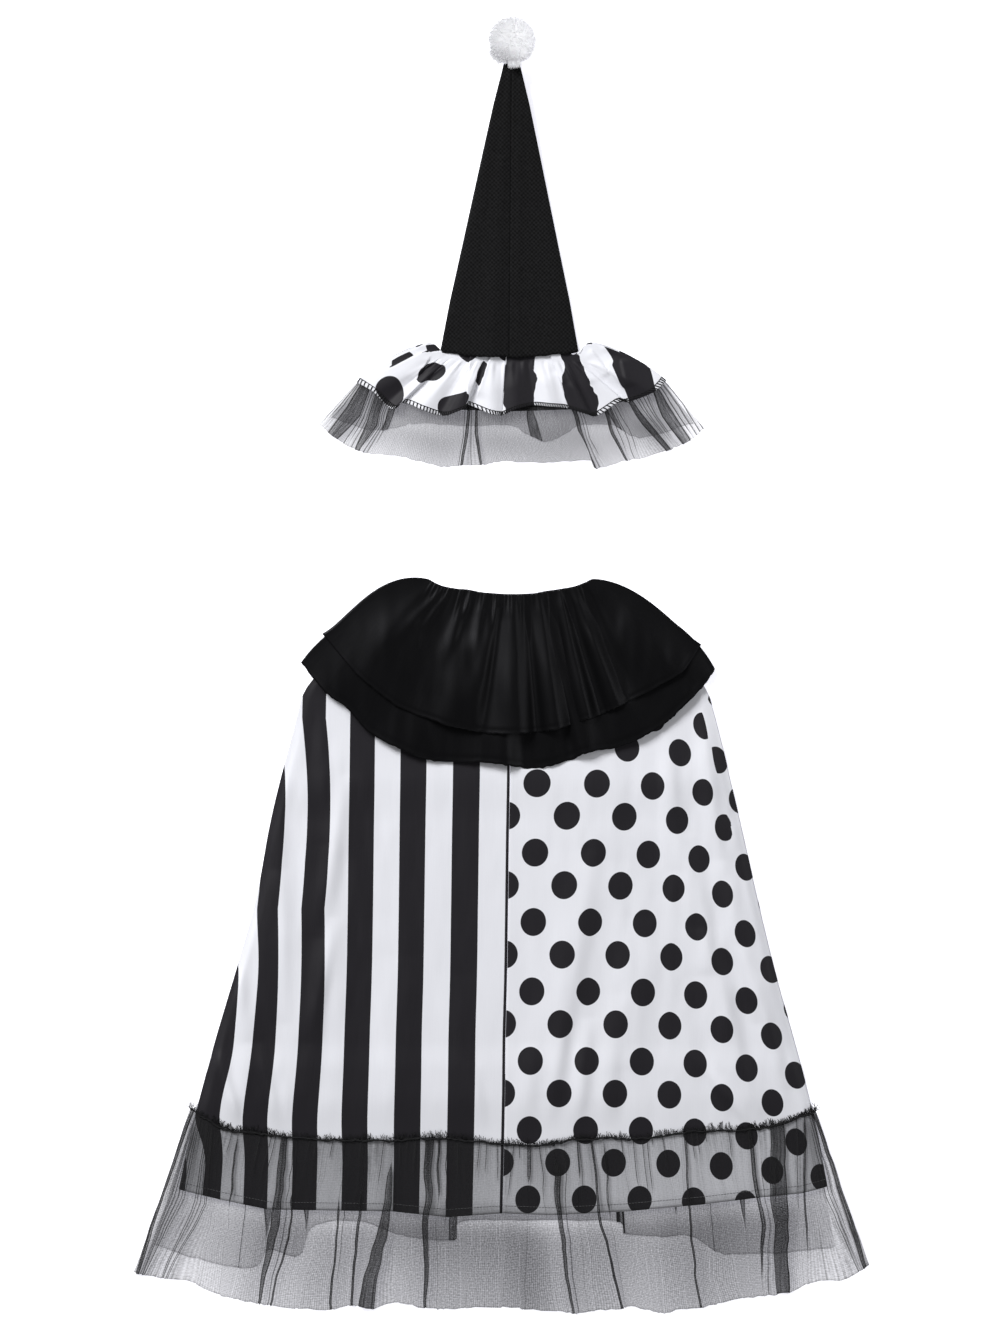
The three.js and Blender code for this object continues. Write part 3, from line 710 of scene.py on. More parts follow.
class Nodes:
    """Short calls for a material's node tree."""

    def __init__(self, name):
        self.material = bpy.data.materials.new(name)
        self.material.use_nodes = True
        self.tree = self.material.node_tree
        self.shader = self.tree.nodes["Principled BSDF"]

    def add(self, kind, **settings):
        node = self.tree.nodes.new("ShaderNode" + kind)
        for name, value in settings.items():
            setattr(node, name, value)
        return node

    def link(self, value, socket):
        if isinstance(value, bpy.types.NodeSocket):
            self.tree.links.new(value, socket)
        elif value is not None:
            socket.default_value = value

    def math(self, operation, *values, clamp=False):
        node = self.add("Math", operation=operation, use_clamp=clamp)
        for value, socket in zip(values, node.inputs):
            self.link(value, socket)
        return node.outputs[0]

    def attribute(self, name, output="Fac"):
        return self.add("Attribute", attribute_name=name).outputs[output]

    def object_place(self):
        return self.add("TexCoord").outputs["Object"]

    def millimetres(self, place):
        """A place in millimetres, and its first two parts."""
        scale = self.add("VectorMath", operation="SCALE")
        self.link(place, scale.inputs[0])
        scale.inputs["Scale"].default_value = 1 / MM
        parts = self.add("SeparateXYZ")
        self.link(scale.outputs[0], parts.inputs[0])
        return scale.outputs[0], parts.outputs[0], parts.outputs[1]

    def cloth(self):
        """The place on the flat cloth."""
        return self.millimetres(self.attribute("cloth", "Vector"))

    def noise(self, place, scale, detail=3, roughness=0.5, stretch=(1, 1, 1)):
        mapping = self.add("Mapping")
        self.link(place, mapping.inputs[0])
        mapping.inputs["Scale"].default_value = stretch
        node = self.add("TexNoise")
        self.link(mapping.outputs[0], node.inputs["Vector"])
        node.inputs["Scale"].default_value = scale
        node.inputs["Detail"].default_value = detail
        node.inputs["Roughness"].default_value = roughness
        return node.outputs[0]

    def mix(self, share, low, high):
        node = self.add("Mix", data_type="RGBA")
        self.link(share, node.inputs["Factor"])
        for value, socket in ((low, node.inputs[6]), (high, node.inputs[7])):
            self.link((*value, 1) if isinstance(value, tuple) else value, socket)
        return node.outputs[2]

    def spread(self, value, low, high):
        """value's range 0 to 1 laid on low to high."""
        return self.math("MULTIPLY_ADD", value, high - low, low)

    def printed(self, inside):
        """1 where inside is above 0, with a slightly blurred edge."""
        return self.math("MULTIPLY_ADD", inside, 1 / EDGE_BLUR, 0.5, clamp=True)

    def lattice(self, s, t, pitch):
        """Waves along s times waves along t, from -1 to 1."""
        turn = 2 * math.pi / pitch
        waves = [self.math("SINE", self.math("MULTIPLY", at, turn)) for at in (s, t)]
        return self.math("MULTIPLY", *waves)

    def bump(self, height, depth, strength):
        """A bump whose height of 1 stands that many millimetres proud."""
        node = self.add("Bump")
        node.inputs["Distance"].default_value = depth * MM
        node.inputs["Strength"].default_value = strength
        self.link(height, node.inputs["Height"])
        self.link(node.outputs[0], self.shader.inputs["Normal"])

    def weave(self, s, t, pitch, depth, strength):
        """The bump of crossing threads."""
        self.bump(self.spread(self.lattice(s, t, pitch), 0.5, 1), depth, strength)

    def set(self, **values):
        for name, value in values.items():
            self.link(value, self.shader.inputs[name.replace("_", " ")])


WHITE = (0.700, 0.707, 0.752)
PRINT_BLACK = (0.0105, 0.0095, 0.0125)
STRIPE = 28.5
SEAM_SLIVER = 3  # the first stripe shows this much beside the seam
HAT_STRIPE = 33
# Dots: their radius, their pitch across and down, and a dot's place in each of two lattices.
DOTS = (14.7, (66, 72.8), (29, 198.5), (-3, 232.6))
HAT_DOTS = (16.8, (76, 83.7), (20, 33), (58, 75))
NET_PITCH = 3.7
TULLE_COVER = 0.385  # the share of the surface that one layer of net covers
LEAST_THROUGH = 0.03
BUNDLE_FLOW = 0.018  # how little the bundles of threads vary on their way down
FELT_GRAIN = 4.4


def shade(colour, share):
    return tuple(c * share for c in colour)


def printed_cloth(name, mask_of):
    """White polyester satin with a black print. mask_of(nodes, s, t) is 1 where it is black."""
    nodes = Nodes(name)
    place, s, t = nodes.cloth()
    mask = mask_of(nodes, s, t)
    thread = nodes.noise(place, 0.9, detail=2, stretch=(1, 0.03, 1))
    cloud = nodes.noise(place, 0.02, detail=2)
    fine, broad = nodes.spread(thread, 0.965, 1.015), nodes.spread(cloud, -0.015, 0.015)
    white = nodes.mix(nodes.math("ADD", fine, broad), (0, 0, 0), WHITE)
    black = nodes.mix(thread, shade(PRINT_BLACK, 0.8), shade(PRINT_BLACK, 1.2))
    nodes.set(Base_Color=nodes.mix(mask, white, black))
    nodes.set(Roughness=nodes.spread(thread, 0.5, 0.64))
    nodes.set(Specular_IOR_Level=0.2, Sheen_Weight=0.02, Sheen_Roughness=0.4)
    nodes.weave(s, t, pitch=0.9, depth=0.05, strength=0.35)
    return nodes.material


def stripes(width, start):
    def mask(nodes, s, _):
        turn = nodes.math("DIVIDE", nodes.math("SUBTRACT", s, start), 2 * width)
        place = nodes.math("MULTIPLY", nodes.math("FRACT", turn), 2 * width)
        from_middle = nodes.math("ABSOLUTE", nodes.math("SUBTRACT", place, width))
        return nodes.printed(nodes.math("SUBTRACT", from_middle, width / 2))
    return mask


def dots(radius, pitch, *lattices):
    def squared(nodes, at, start, spacing):
        return nodes.math(
            "POWER", nodes.math("PINGPONG", nodes.math("SUBTRACT", at, start), spacing / 2), 2
        )

    def mask(nodes, s, t):
        distances = [
            nodes.math("SQRT", nodes.math(
                "ADD", squared(nodes, s, start[0], pitch[0]), squared(nodes, t, start[1], pitch[1])
            ))
            for start in lattices
        ]
        nearest = nodes.math("MINIMUM", *distances)
        return nodes.printed(nodes.math("SUBTRACT", radius, nearest))
    return mask


def satin_material():
    nodes = Nodes("black_satin")
    place, s, t = nodes.cloth()
    thread = nodes.noise(place, 1.1, detail=2, stretch=(1, 0.04, 1))
    nodes.set(Base_Color=nodes.mix(thread, (0.001, 0.001, 0.0012), (0.0018, 0.0018, 0.002)))
    nodes.set(Roughness=nodes.spread(thread, 0.37, 0.46))
    nodes.set(Specular_IOR_Level=0.13, Specular_Tint=(0.93, 0.93, 1, 1))
    nodes.weave(s, t, pitch=0.6, depth=0.03, strength=0.3)
    return nodes.material


def tulle_material():
    """Net: threads with holes between them. Where the net is gathered more threads overlap."""
    nodes = Nodes("black_tulle")
    place, s, t = nodes.cloth()
    lattice = nodes.lattice(nodes.math("ADD", s, t), nodes.math("SUBTRACT", s, t), NET_PITCH)
    grain = nodes.noise(place, 0.5, roughness=0.75)
    thin = nodes.math("ADD", nodes.math("MULTIPLY", lattice, 0.1), nodes.spread(grain, -0.32, 0.32))
    let_through = nodes.math("SUBTRACT", 1 - TULLE_COVER, thin)
    # Bundles of threads run down from the gathers as fine dark lines.
    lines = nodes.noise(place, 0.5, roughness=0.75, stretch=(1, BUNDLE_FLOW, 1))
    lines = nodes.math("POWER", nodes.math("MULTIPLY", lines, 1.75), 6)
    bundles = nodes.math("MULTIPLY", lines, nodes.attribute("streaks"))
    layers = nodes.math("ADD", nodes.attribute("threads"), bundles)
    holes = nodes.math("POWER", nodes.math("MAXIMUM", let_through, LEAST_THROUGH), layers)
    nodes.set(Base_Color=(0.012, 0.012, 0.013, 1), Roughness=0.6, Specular_IOR_Level=0.2)
    nodes.set(Alpha=nodes.math("SUBTRACT", 1, holes, clamp=True))
    return nodes.material


def felt_material():
    """Black felt with a fine diagonal grain."""
    nodes = Nodes("black_felt")
    place, s, t = nodes.millimetres(nodes.object_place())
    fibres = nodes.noise(place, 0.42, detail=4, roughness=0.7)
    waves = nodes.math("MULTIPLY", nodes.lattice(s, t, FELT_GRAIN), 0.5)
    grain = nodes.math("ADD", waves, nodes.spread(fibres, -0.5, 1.5))
    nodes.set(Base_Color=nodes.mix(grain, (0.0006, 0.0006, 0.0007), (0.0098, 0.0098, 0.0104)))
    nodes.set(Roughness=nodes.spread(fibres, 0.8, 0.95))
    nodes.set(Specular_IOR_Level=0.1, Sheen_Weight=0.012, Sheen_Roughness=0.6)
    nodes.bump(grain, depth=0.25, strength=0.5)
    return nodes.material


def yarn_material():
    """White yarn, with shade painted in: darker where the attribute for it says."""
    nodes = Nodes("white_yarn")
    fuzz = nodes.noise(nodes.object_place(), 900)
    white = nodes.mix(fuzz, (0.90, 0.905, 0.93), (0.96, 0.963, 0.985))
    # Painted shade: a dark grey mixed into the yarn's colour between the tufts.
    nodes.set(Base_Color=nodes.mix(nodes.attribute("painted_shade"), white, (0.34, 0.33, 0.36)))
    nodes.set(Roughness=0.9, Sheen_Weight=0.1, Specular_IOR_Level=0.15)
    nodes.set(Subsurface_Weight=0.35, Subsurface_Scale=0.003, Subsurface_Radius=(1, 1, 1))
    return nodes.material


def thread_material(name, colour):
    nodes = Nodes(name)
    fuzz = nodes.noise(nodes.object_place(), 2500, detail=2)
    nodes.set(Base_Color=nodes.mix(fuzz, shade(colour, 0.75), colour))
    nodes.set(Roughness=0.75, Specular_IOR_Level=0.2)
    return nodes.material


MATERIALS = {
    "striped": printed_cloth("striped_cloth", stripes(STRIPE, SEAM_SLIVER - STRIPE / 2)),
    "dotted": printed_cloth("dotted_cloth", dots(*DOTS)),
    "hat_striped": printed_cloth("hat_striped_cloth", stripes(HAT_STRIPE, HAT_STRIPE / 2)),
    "hat_dotted": printed_cloth("hat_dotted_cloth", dots(*HAT_DOTS)),
    "satin": satin_material(),
    "tulle": tulle_material(),
    "felt": felt_material(),
    "yarn": yarn_material(),
    "black_thread": thread_material("black_thread", (0.008, 0.008, 0.009)),
    # Light thread, painted mid grey to carry the shade along its stitch line as well.
    "thread_with_painted_shade": thread_material("thread_with_painted_shade", (0.22, 0.22, 0.23)),
}

# -------- cape panels

CORNER_STEPS = (-20, -10, 0, 10, 20)
NECK_SAG = 14  # how far the neck edge dips from its ends to its middle
NECK_INSET = 2  # how far it lies under the outline's top
HEM_SEAM = -8  # the centre seam's place across, at the hem
PANEL_GRIDS = {"front": (130, 220), "back": (60, 110)}
FRONT_PUFF = 3.2  # how far the front's cloth stands over the back's
LEAST_PUFF = 0.1
PRESSED_BY_FRILL = 0.88  # the share of it that goes flat under the frill
EDGE_CLOSING = 10  # the two plies come together this near to a side edge
EDGE_PUFF = 0.1  # the share of the front's height that is left there
FRONT_LIFT = 0.2  # the front's shell lies this much over its solid's middle
CRUMPLES = (1.1, 0.5)  # heights of the broad and the fine crumples
CRUMPLE_LEAN = 0.12  # how much the broad ones slant
SIDE_TURN = 14  # striped cloth that turns away at the side edge
HEM_DRAW, MIDDLE_DRAW = 7, 6  # striped cloth drawn together at the hem and given back above it
SIDE_SPREAD, SIDE_SPREAD_POWER = 0.062, 2.7
DOT_ROWS_SINK = 17  # how far the rows of dots sink towards the side

# Distances down from the neck's level between which each of these comes in, and goes again.
FOLDS_START = (95, 165)
COLLAR_ROUND = 70  # the folds start this much lower in the middle
PUFF_STARTS = (150, 260)
FRILL_PRESSES = (525, 575)
HEM_DRAWS = (545, 605)
TURN_HIGHER_UP = (330, 420, 470, 545)
MIDDLE_GIVES_BACK = (470, 540, 545, 605)
SIDE_TUCK_SPAN = (95, 112, 225, 262)

HEM_WIDTH = 338  # from the centre seam to a side
PANEL_LENGTH = 645
HEM_DEPTH = 8
STITCH_PITCH = 3.2
STITCH_SHARE = 0.75  # the share of the pitch that a stitch shows
STITCH_ARCH = np.array([0.15, 0.5, 0.5, 0.15])
STITCH_RADIUS = 0.24


def back_floor(y):
    """How high the cape's back lies on the collar and the frill under it."""
    over_collar = 2 * LAYER * smooth(y, COLLAR_RAMP_END, COLLAR_FLAT_END)
    over_frill = LAYER * smooth(-y, -FRILL_RAMP_START, -FRILL_FLAT_START)
    return over_collar + over_frill


def level(y, column):
    """A column of the cape's outline at a height, with its corners rounded off."""
    near = [np.interp(-y + d, -CAPE_LEVELS[:, 0], CAPE_LEVELS[:, column]) for d in CORNER_STEPS]
    return np.mean(near, axis=0)


def fold_lift(distance, y, folds, squeezes):
    """Height of the soft folds, and how far they shift the print, at a distance from the seam."""
    lift, shift = np.zeros_like(distance), np.zeros_like(distance)
    for start, top, end, bottom, to_seam, away, height, cloth in folds:
        down = (y - top) / (bottom - top)
        line = start + (end - start) * down
        strength = np.sin(math.pi * np.clip(down, 0, 1))
        off = (distance - line) / np.where(distance < line, to_seam, away)
        lift += height * strength**0.8 * bell(off, 1)
        if squeezes:
            shift += cloth * strength * (distance - line) * bell(off, 1)
        else:
            shift += cloth * strength * smooth(off, -1.3, 1.3)
    return lift, shift


def striped_places(u, y, width):
    """Places across the striped cloth, which turns away towards its side."""
    turned = SIDE_TURN * smooth(u, 0.85, 1)
    near_hem = smooth(-y, *HEM_DRAWS) * (HEM_DRAW * u**2 + turned)
    higher = 0.6 * window(-y, *TURN_HIGHER_UP) * turned
    given_back = window(-y, *MIDDLE_GIVES_BACK) * MIDDLE_DRAW * u**3
    return width * (u + SIDE_SPREAD * u**SIDE_SPREAD_POWER) + near_hem + higher - given_back


def dotted_places(u, y, width):
    """Places across the dotted cloth, which turns away towards its side and has a tuck there."""
    steady = np.interp(-y, -DOT_SPREAD[:, 0], DOT_SPREAD[:, 1])
    added = np.interp(-y, -DOT_SPREAD[:, 0], DOT_SPREAD[:, 2])
    tuck = np.interp(-y, SIDE_TUCK[:, 0], SIDE_TUCK[:, 1])
    hidden = SIDE_TUCK_CLOTH * window(-y, *SIDE_TUCK_SPAN)
    return width * (steady * u + added * u**3) + hidden * smooth(u * width - tuck, -0.6, 0.6)


def cape_surface(side, folds, ply, u, v):
    """Points of a panel, u across it from the centre seam and v down it, and their print."""
    hem = FRONT_HEM if ply == "front" else BACK_HEM
    top = CAPE_LEVELS[0, 0] + NECK_SAG * (u**2 - 1) - NECK_INSET
    hem_edge = hem[0 if side < 0 else -1][0]
    bottom = np.interp(HEM_SEAM + u * (hem_edge - HEM_SEAM), hem[:, 0], hem[:, 1])
    y = top + (bottom - top) * v
    seam = level(y, 2)
    width = np.abs(level(y, 1 if side < 0 else 3) - seam)
    distance = u * width
    x = seam + side * (distance + SEAM_HALF_GAP)

    lift, shift = fold_lift(distance, y, folds, squeezes=side > 0)
    broad = soft_noise(side * distance + CRUMPLE_LEAN * y, y, 15, 95, 3 + side)
    crumple = CRUMPLES[0] * broad + CRUMPLES[1] * soft_noise(x, y, 9, 26, 7 + side)
    from_collar = smooth(-y - COLLAR_ROUND + COLLAR_ROUND * u**2, *FOLDS_START)
    lift = (lift + crumple * (0.3 + 0.7 * u)) * from_collar
    z = back_floor(y) + WALL / 2
    if ply == "front":
        over_back = np.maximum(FRONT_PUFF * smooth(-y, *PUFF_STARTS) + lift, LEAST_PUFF)
        over_back = over_back * (1 - PRESSED_BY_FRILL * smooth(-y, *FRILL_PRESSES))
        raised = z + LAYER + over_back
        inner = smooth(width - distance, 0, EDGE_CLOSING)
        z = z + FRONT_LIFT + (raised - z) * (EDGE_PUFF + (1 - EDGE_PUFF) * inner)
    cloth_s = (striped_places if side < 0 else dotted_places)(u, y, width) + shift
    cloth_t = -y - (DOT_ROWS_SINK * u**4 if side > 0 else 0)
    return np.stack([x, y, z], -1), np.stack([cloth_s, cloth_t], -1)


def cape_panel(node, side, folds, ply, material):
    points, cloth = cape_surface(side, folds, ply, *grid(*PANEL_GRIDS[ply]))
    if side < 0:
        points, cloth = points[::-1], cloth[::-1]
    piece = cloth_sheet(node + "_cloth", points, cloth, material, CAPE_AT)
    thicken(piece, CLOTH)
    return piece


def hem_stitching():
    """The topstitching of the front's hem: short stitches a little above its edge."""
    parts = []
    for side, folds in ((-1, STRIPED_FOLDS), (1, DOTTED_FOLDS)):
        for start in np.arange(2, HEM_WIDTH - 2, STITCH_PITCH) / HEM_WIDTH:
            u = start + np.linspace(0, STITCH_SHARE, len(STITCH_ARCH)) * STITCH_PITCH / HEM_WIDTH
            v = 1 - HEM_DEPTH / PANEL_LENGTH + 0 * u
            points = cape_surface(side, folds, "front", u[:, None], v[:, None])[0][:, 0]
            points[:, 2] += STITCH_ARCH
            parts.append(tube(to_row(points, CAPE_AT), STITCH_RADIUS * MM, 4))
    piece = joined("hem_stitching", parts, MATERIALS["thread_with_painted_shade"])
    return ready(piece, None)


# -------- collar

COLLAR = [
    # node, tier, bow, solid layers under it, folds, height of its body, cut, area
    ("collar_upper_back", UPPER_TIER, UPPER_BOW, 0, [], 0, (0.48, 0.16), 0.058),
    ("collar_lower_back", LOWER_TIER, LOWER_BOW, 1, [], 0, (0.52, 0.2), 0.072),
    ("collar_lower_front", LOWER_TIER, LOWER_BOW, 4, LOWER_TIER_FOLDS, 4.0, (0.52, 0.2), 0.072),
    ("collar_upper_front", UPPER_TIER, UPPER_BOW, 5, UPPER_TIER_FOLDS, 6.6, (0.48, 0.16), 0.058),
]
COLLAR_GRIDS = {"front": (270, 80), "back": (100, 30)}
FOLD_AT_NECK = 0.3  # a fold's size there, as a share of its size at the hem
WHOLE_WAY = (0, 1.6)  # a fold that ends beyond the hem doesn't fade before it
COLLAR_FULLNESS = 1.35
COLLAR_DEPTH = 160  # of the flat cloth
NECK_GATHERS = {"wide": (0.9, 1.7), "long": (0.06, 0.24), "high": (0.3, 0.9)}
NECK_GATHER_STEP = (2.2, 4.2)
SIDE_RELIEF = 0.15  # the share of the relief that is left at the collar's sides
ROLLED_EDGE = (-0.4, 0.25)  # how far the cloth dips before its edge, and rises at it


def gathered_points(rows, u, v, bow=UPPER_BOW, shift=0):
    """Plan and fold height of a gathered piece at u along it and v down it."""
    table = np.array([list(row) + [0] * (6 - len(row)) for row in rows], float)
    row = rounded(table, u)
    x0, y0, x1, y1, height, out = (row[..., k] for k in range(6))
    length = np.hypot(x1 - x0, y1 - y0)
    middle = (table[0, 0] + table[-1, 0]) / 2
    outwards = np.where(x1 < middle, -1, 1)
    bulge = out * bow_share(np.clip(v, 1e-6, 1 - 1e-6), bow)
    x = x0 + v * (x1 - x0) + outwards * np.abs(y1 - y0) / length * bulge + shift
    y = y0 + v * (y1 - y0) + np.abs(x1 - x0) / length * bulge
    return x, y, np.maximum(height, 0)


def tier_folds(x, v, folds):
    """Height of a collar tier's folds. They fan out from the neck and widen on their way."""
    height = np.zeros_like(x)
    for neck, hem, left, right, high, *run in folds:
        start, end = run or WHOLE_WAY
        off = x - neck - (hem - neck) * v
        grown = FOLD_AT_NECK + (1 - FOLD_AT_NECK) * v
        strength = window(v, start - 0.03, start + 0.15, end - 0.5, end)
        height += high * grown * strength * bell(off, np.where(off < 0, left, right) * grown)
    return height


def elastic_gathers(x, v, half_neck):
    """Short fine gathers along the neck, each of its own length, width and height."""
    rng = np.random.default_rng(SEED + 5)
    height = np.zeros_like(x)
    place = -half_neck + 2
    while place < half_neck - 2:
        wide, long, high = (rng.uniform(*span) for span in NECK_GATHERS.values())
        off = x - place * (1 + 0.75 * v)
        height += high * bell(v, long) * bell(off, wide * (1 + 3 * v))
        place += rng.uniform(*NECK_GATHER_STEP)
    return height


def collar_tier(node, rows, bow, layers, folds, body):
    """A tier's satin on so many solid layers. A front tier has folds and the height of its body."""
    ply = "front" if folds else "back"
    seed = 50 + layers
    u, v = grid(*COLLAR_GRIDS[ply])
    x, y, _ = gathered_points([(*row[:4], 0, row[4]) for row in rows], u, v, bow)
    z = layers * LAYER + WALL / 2 + 0 * x
    if folds:
        rumple = soft_noise(x + 0.4 * y, y, 24, 55, seed) + 0.5 * soft_noise(x, y, 10, 34, seed + 3)
        relief = body * smooth(v, 0, 0.8) + tier_folds(x, v, folds) + rumple * smooth(v, 0.05, 0.4)
        relief = relief + elastic_gathers(x, v, rows[-1][0])
        rolled = ROLLED_EDGE[0] * smooth(v, 0.95, 0.975) + ROLLED_EDGE[1] * smooth(v, 0.975, 0.99)
        inner = window(u, 0, 0.06, 0.94, 1)
        z = z + np.maximum((relief + rolled) * (SIDE_RELIEF + (1 - SIDE_RELIEF) * inner), -0.2)
        y = y + 0.7 * noise_along(u * 400, 3, seed + 1) * smooth(v, 0.9, 1)
    width = COLLAR_FULLNESS * (rows[-1][2] - rows[0][2])
    cloth = np.stack([u * width, v * COLLAR_DEPTH], -1)
    points = np.stack([x, y, z], -1)
    piece = cloth_sheet(node + "_satin", points, cloth, MATERIALS["satin"], CAPE_AT)
    thicken(piece, CLOTH)
    return ready(piece, node)


# -------- tulle

CREASE_ROOM = 0.6  # between a crease and a pleat
CREASE_HALF = 0.55
CREASE_SHARE = 0.9  # how dark a crease's line is beside a pleat's edge
PLEAT_EDGE = 0.7  # width of the dark line along a pleat's edge
LEAST_PLEAT_HALF = 0.12
PLEAT_LEVELS = (0.1, 0.35, 0.7)  # heights at the turns of a pleat's three layers
CREASE_HEIGHT = 0.3
EDGE_THREADS = 5.0  # layers of net that a pleat's turned edge looks like
COLUMNS_BETWEEN = 6  # of a sheet's points, for each row of its table
TULLE_SWELL = 0.6  # how much of a fold's height the net follows
NET_CHANGES = (0.35, 0.6)  # from its look over the cloth to that at the free edge
GATHER_REACH = 0.16
SIDE_BUNDLE = 0.05
TULLE_DEPTH = 190  # of the flat net
HEADER_LINE = 0.033  # how far down the frill its gathering threads lie
HEADER_LENGTH = 700  # of the gathered edge
NET_END_LENGTH = (2.5, 9.5)
NET_END_RADIUS = (0.2, 0.4)
GATHERING_RADIUS = 0.8


def fanned(fans):
    """The creases of the fans, as rows of the pleats' table."""
    rng = np.random.default_rng(SEED + 9)
    rows = []
    for count, first, last in fans:
        for k in range(count):
            places = [a + (b - a) * k / (count - 1) for a, b in zip(first, last)]
            places[1] += rng.uniform(-1, 1)
            rows.append((*places, 0, 0, 0, rng.uniform(0, 0.1), rng.uniform(0.85, 1.1)))
    return rows


def gathers_under(rows, spacing, longest, seed):
    """Short creases under a gathered edge, as rows of the pleats' table."""
    rng = np.random.default_rng(SEED + seed)
    found, x = [], rows[0][0] + 6
    while x < rows[-1][0] - 6:
        reach = 0.05 + longest * rng.uniform(0, 1) ** 2
        lean = rng.uniform(-8, 8)
        spread = (rows[-1][2] - rows[0][2]) / (rows[-1][0] - rows[0][0])
        found.append((x, x * (1 + spread) / 2 + lean, x * spread + 2 * lean, 0, 0, 0, 0, reach))
        x += rng.uniform(0.5, 1.5) * spacing
    return found


def without_crossings(pleats):
    """The pleats in order, without the creases that would cross a pleat."""
    kept = sorted(p for p in pleats if p[4] > 0)
    for crease in sorted(p for p in pleats if p[4] == 0):
        clear = all(
            (crease[k] - p[k] > p[k + 3] + CREASE_ROOM) if crease[1] > p[1]
            else (p[k] - crease[k] > p[k + 3] + CREASE_ROOM)
            for p in kept for k in range(3)
        )
        if clear:
            kept.append(crease)
    return sorted(kept, key=lambda p: p[1])


def pleated(rows, pleats, down):
    """Columns of u for a sheet that doubles back at each pleat. Returns u[i, j], how far each
    point is lifted, 1 where the cloth turns at a pleat's edge, and v down a column."""
    v = np.linspace(0, 1, down)
    places = np.linspace(0, 1, 4 * len(rows))
    curve = rounded([row[:4] for row in rows], places)

    def u_of(x):
        lines = [curve[:, 0] + at * (curve[:, 2] - curve[:, 0]) for at in v]
        return np.array([np.interp(place, line, places) for place, line in zip(x, lines)])

    columns, lifts, edges = [], [], []

    def add(start, end, low, high, shares, turns):
        for share, turn in zip(shares, turns):
            columns.append(start + (end - start) * share)
            lifts.append(low + (high - low) * share + 0 * v)
            edges.append(turn + 0 * v)

    lowest, lower, upper = PLEAT_LEVELS

    def plain(start, end):
        count = int(COLUMNS_BETWEEN * len(rows) * np.mean(np.maximum(end - start, 0)))
        count = max(2, count)
        shares = [k / count for k in range(count + 1)]
        add(start, end, lowest, lowest, shares, [0] * (count + 1))

    last = np.zeros(down)
    for top, middle, bottom, *halves, start, end in without_crossings(pleats):
        stops = [0, 0.5, 1]
        x = np.interp(v, stops, [top, middle, bottom])
        strength = smooth(v, start - 0.04, start + 0.08) if start > 0 else np.ones(down)
        strength = strength * (1 - smooth(v, end * 0.7, end)) if end < 1 else strength
        if halves[1] == 0:
            before, centre, after = u_of(x - CREASE_HALF), u_of(x), u_of(x + CREASE_HALF)
            plain(last, before)
            add(centre, centre, CREASE_HEIGHT, CREASE_HEIGHT, [0], [CREASE_SHARE * strength])
            last = after
            continue
        half = np.maximum(np.interp(v, stops, halves) * strength, LEAST_PLEAT_HALF)
        left, right = u_of(x - half), u_of(x + half)
        rim = np.clip(PLEAT_EDGE / (2 * half), 0.02, 0.35)
        turn = np.minimum(strength, half / 0.5)
        plain(last, u_of(x - half - CREASE_HALF))
        add(left, right, lowest, lower, [0, rim, 0.5, 1 - rim, 1], [turn, 0, 0, 0, turn])
        add(right, left, lower, upper, [rim, 0.5, 1 - rim, 1], [0, 0, 0, turn])
        add(left, right, upper, lowest, [rim, 0.5, 1 - rim, 1], [0, 0, 0, turn * 0.6])
        last = u_of(x + half + CREASE_HALF)
    plain(last, np.ones(down))
    return np.array(columns), np.array(lifts), np.array(edges), v


def tulle_sheet(
    node, rows, pleats, floor_of, swell, origin, cover,
    down, seed, fullness, wave=0.5, bundles=0, top=0, waver=0.8,
):
    """A pleated sheet of net. floor_of and swell give, at v, its height and its folds' share."""
    u, lift, edge, v = pleated(rows, pleats, down)
    v = top + (1 - top) * v[None, :] * np.ones_like(u)
    x, y, height = gathered_points(rows, u, v)
    middle = x[:, down // 2]
    along = fullness * np.cumsum(np.abs(np.diff(middle, prepend=middle[0])))[:, None] + 0 * u
    z = floor_of(v) + WALL / 2 + TULLE_SWELL * height * swell(v) + lift * smooth(v, 0, 0.05)
    z = z + wave * (1 + soft_noise(x, y, 12, 45, seed)) * smooth(v, 0.02, 0.2)
    y = y + noise_along(along, 2.2, seed + 1) * smooth(v, 0.93, 1)
    # The creases waver a little on their way down.
    inner = 0.35 + 0.65 * window(u, 0, 0.1, 0.9, 1)
    drift = soft_noise(x, y, 44, 30, seed + 3) + 0.5 * soft_noise(x, y, 21, 13, seed + 4)
    x = x + waver * inner * smooth(v, 0.04, 0.3) * drift

    net = np.array(cover)
    at_top, at_edge = (np.interp(u, net[:, 0], net[:, k]) for k in (1, 2))
    patch = at_top + (at_edge - at_top) * smooth(v, *NET_CHANGES)
    patch = patch * (1 - 0.2 * smooth(v, 0.6, 1)) + 0.8 * smooth(v, 0.985, 1)
    patch = patch * (1 + 0.14 * soft_noise(along, v * 200, 60, 90, seed + 2))
    gather = np.exp(-v / GATHER_REACH)
    side = bundles * (bell(u, SIDE_BUNDLE) + bell(1 - u, SIDE_BUNDLE)) * smooth(v, 0, 0.1)
    doubled = smooth(lift, PLEAT_LEVELS[0], 0.2)
    threads = patch * (1 + 0.3 * gather + 0.15 * side) * (1 - 0.4 * doubled) + EDGE_THREADS * edge
    points, cloth = np.stack([x, y, z], -1), np.stack([along, v * TULLE_DEPTH], -1)
    piece = cloth_sheet(node + "_tulle", points, cloth, MATERIALS["tulle"], origin)
    store(piece.data, "threads", "FLOAT", threads)
    store(piece.data, "streaks", "FLOAT", 0.06 + 0.6 * gather + 0.8 * side + 0.8 * doubled)
    return ready(piece, node)


def on_frill(u, v, above):
    """A place on the front frill, that far above the surface."""
    x, y, height = gathered_points(FRONT_FRILL, u, v)
    z = 3 * LAYER + 0.5 + WALL / 2 + 0.2 * TULLE_SWELL * height + above
    return np.stack([x, y, z + 0 * x], -1)


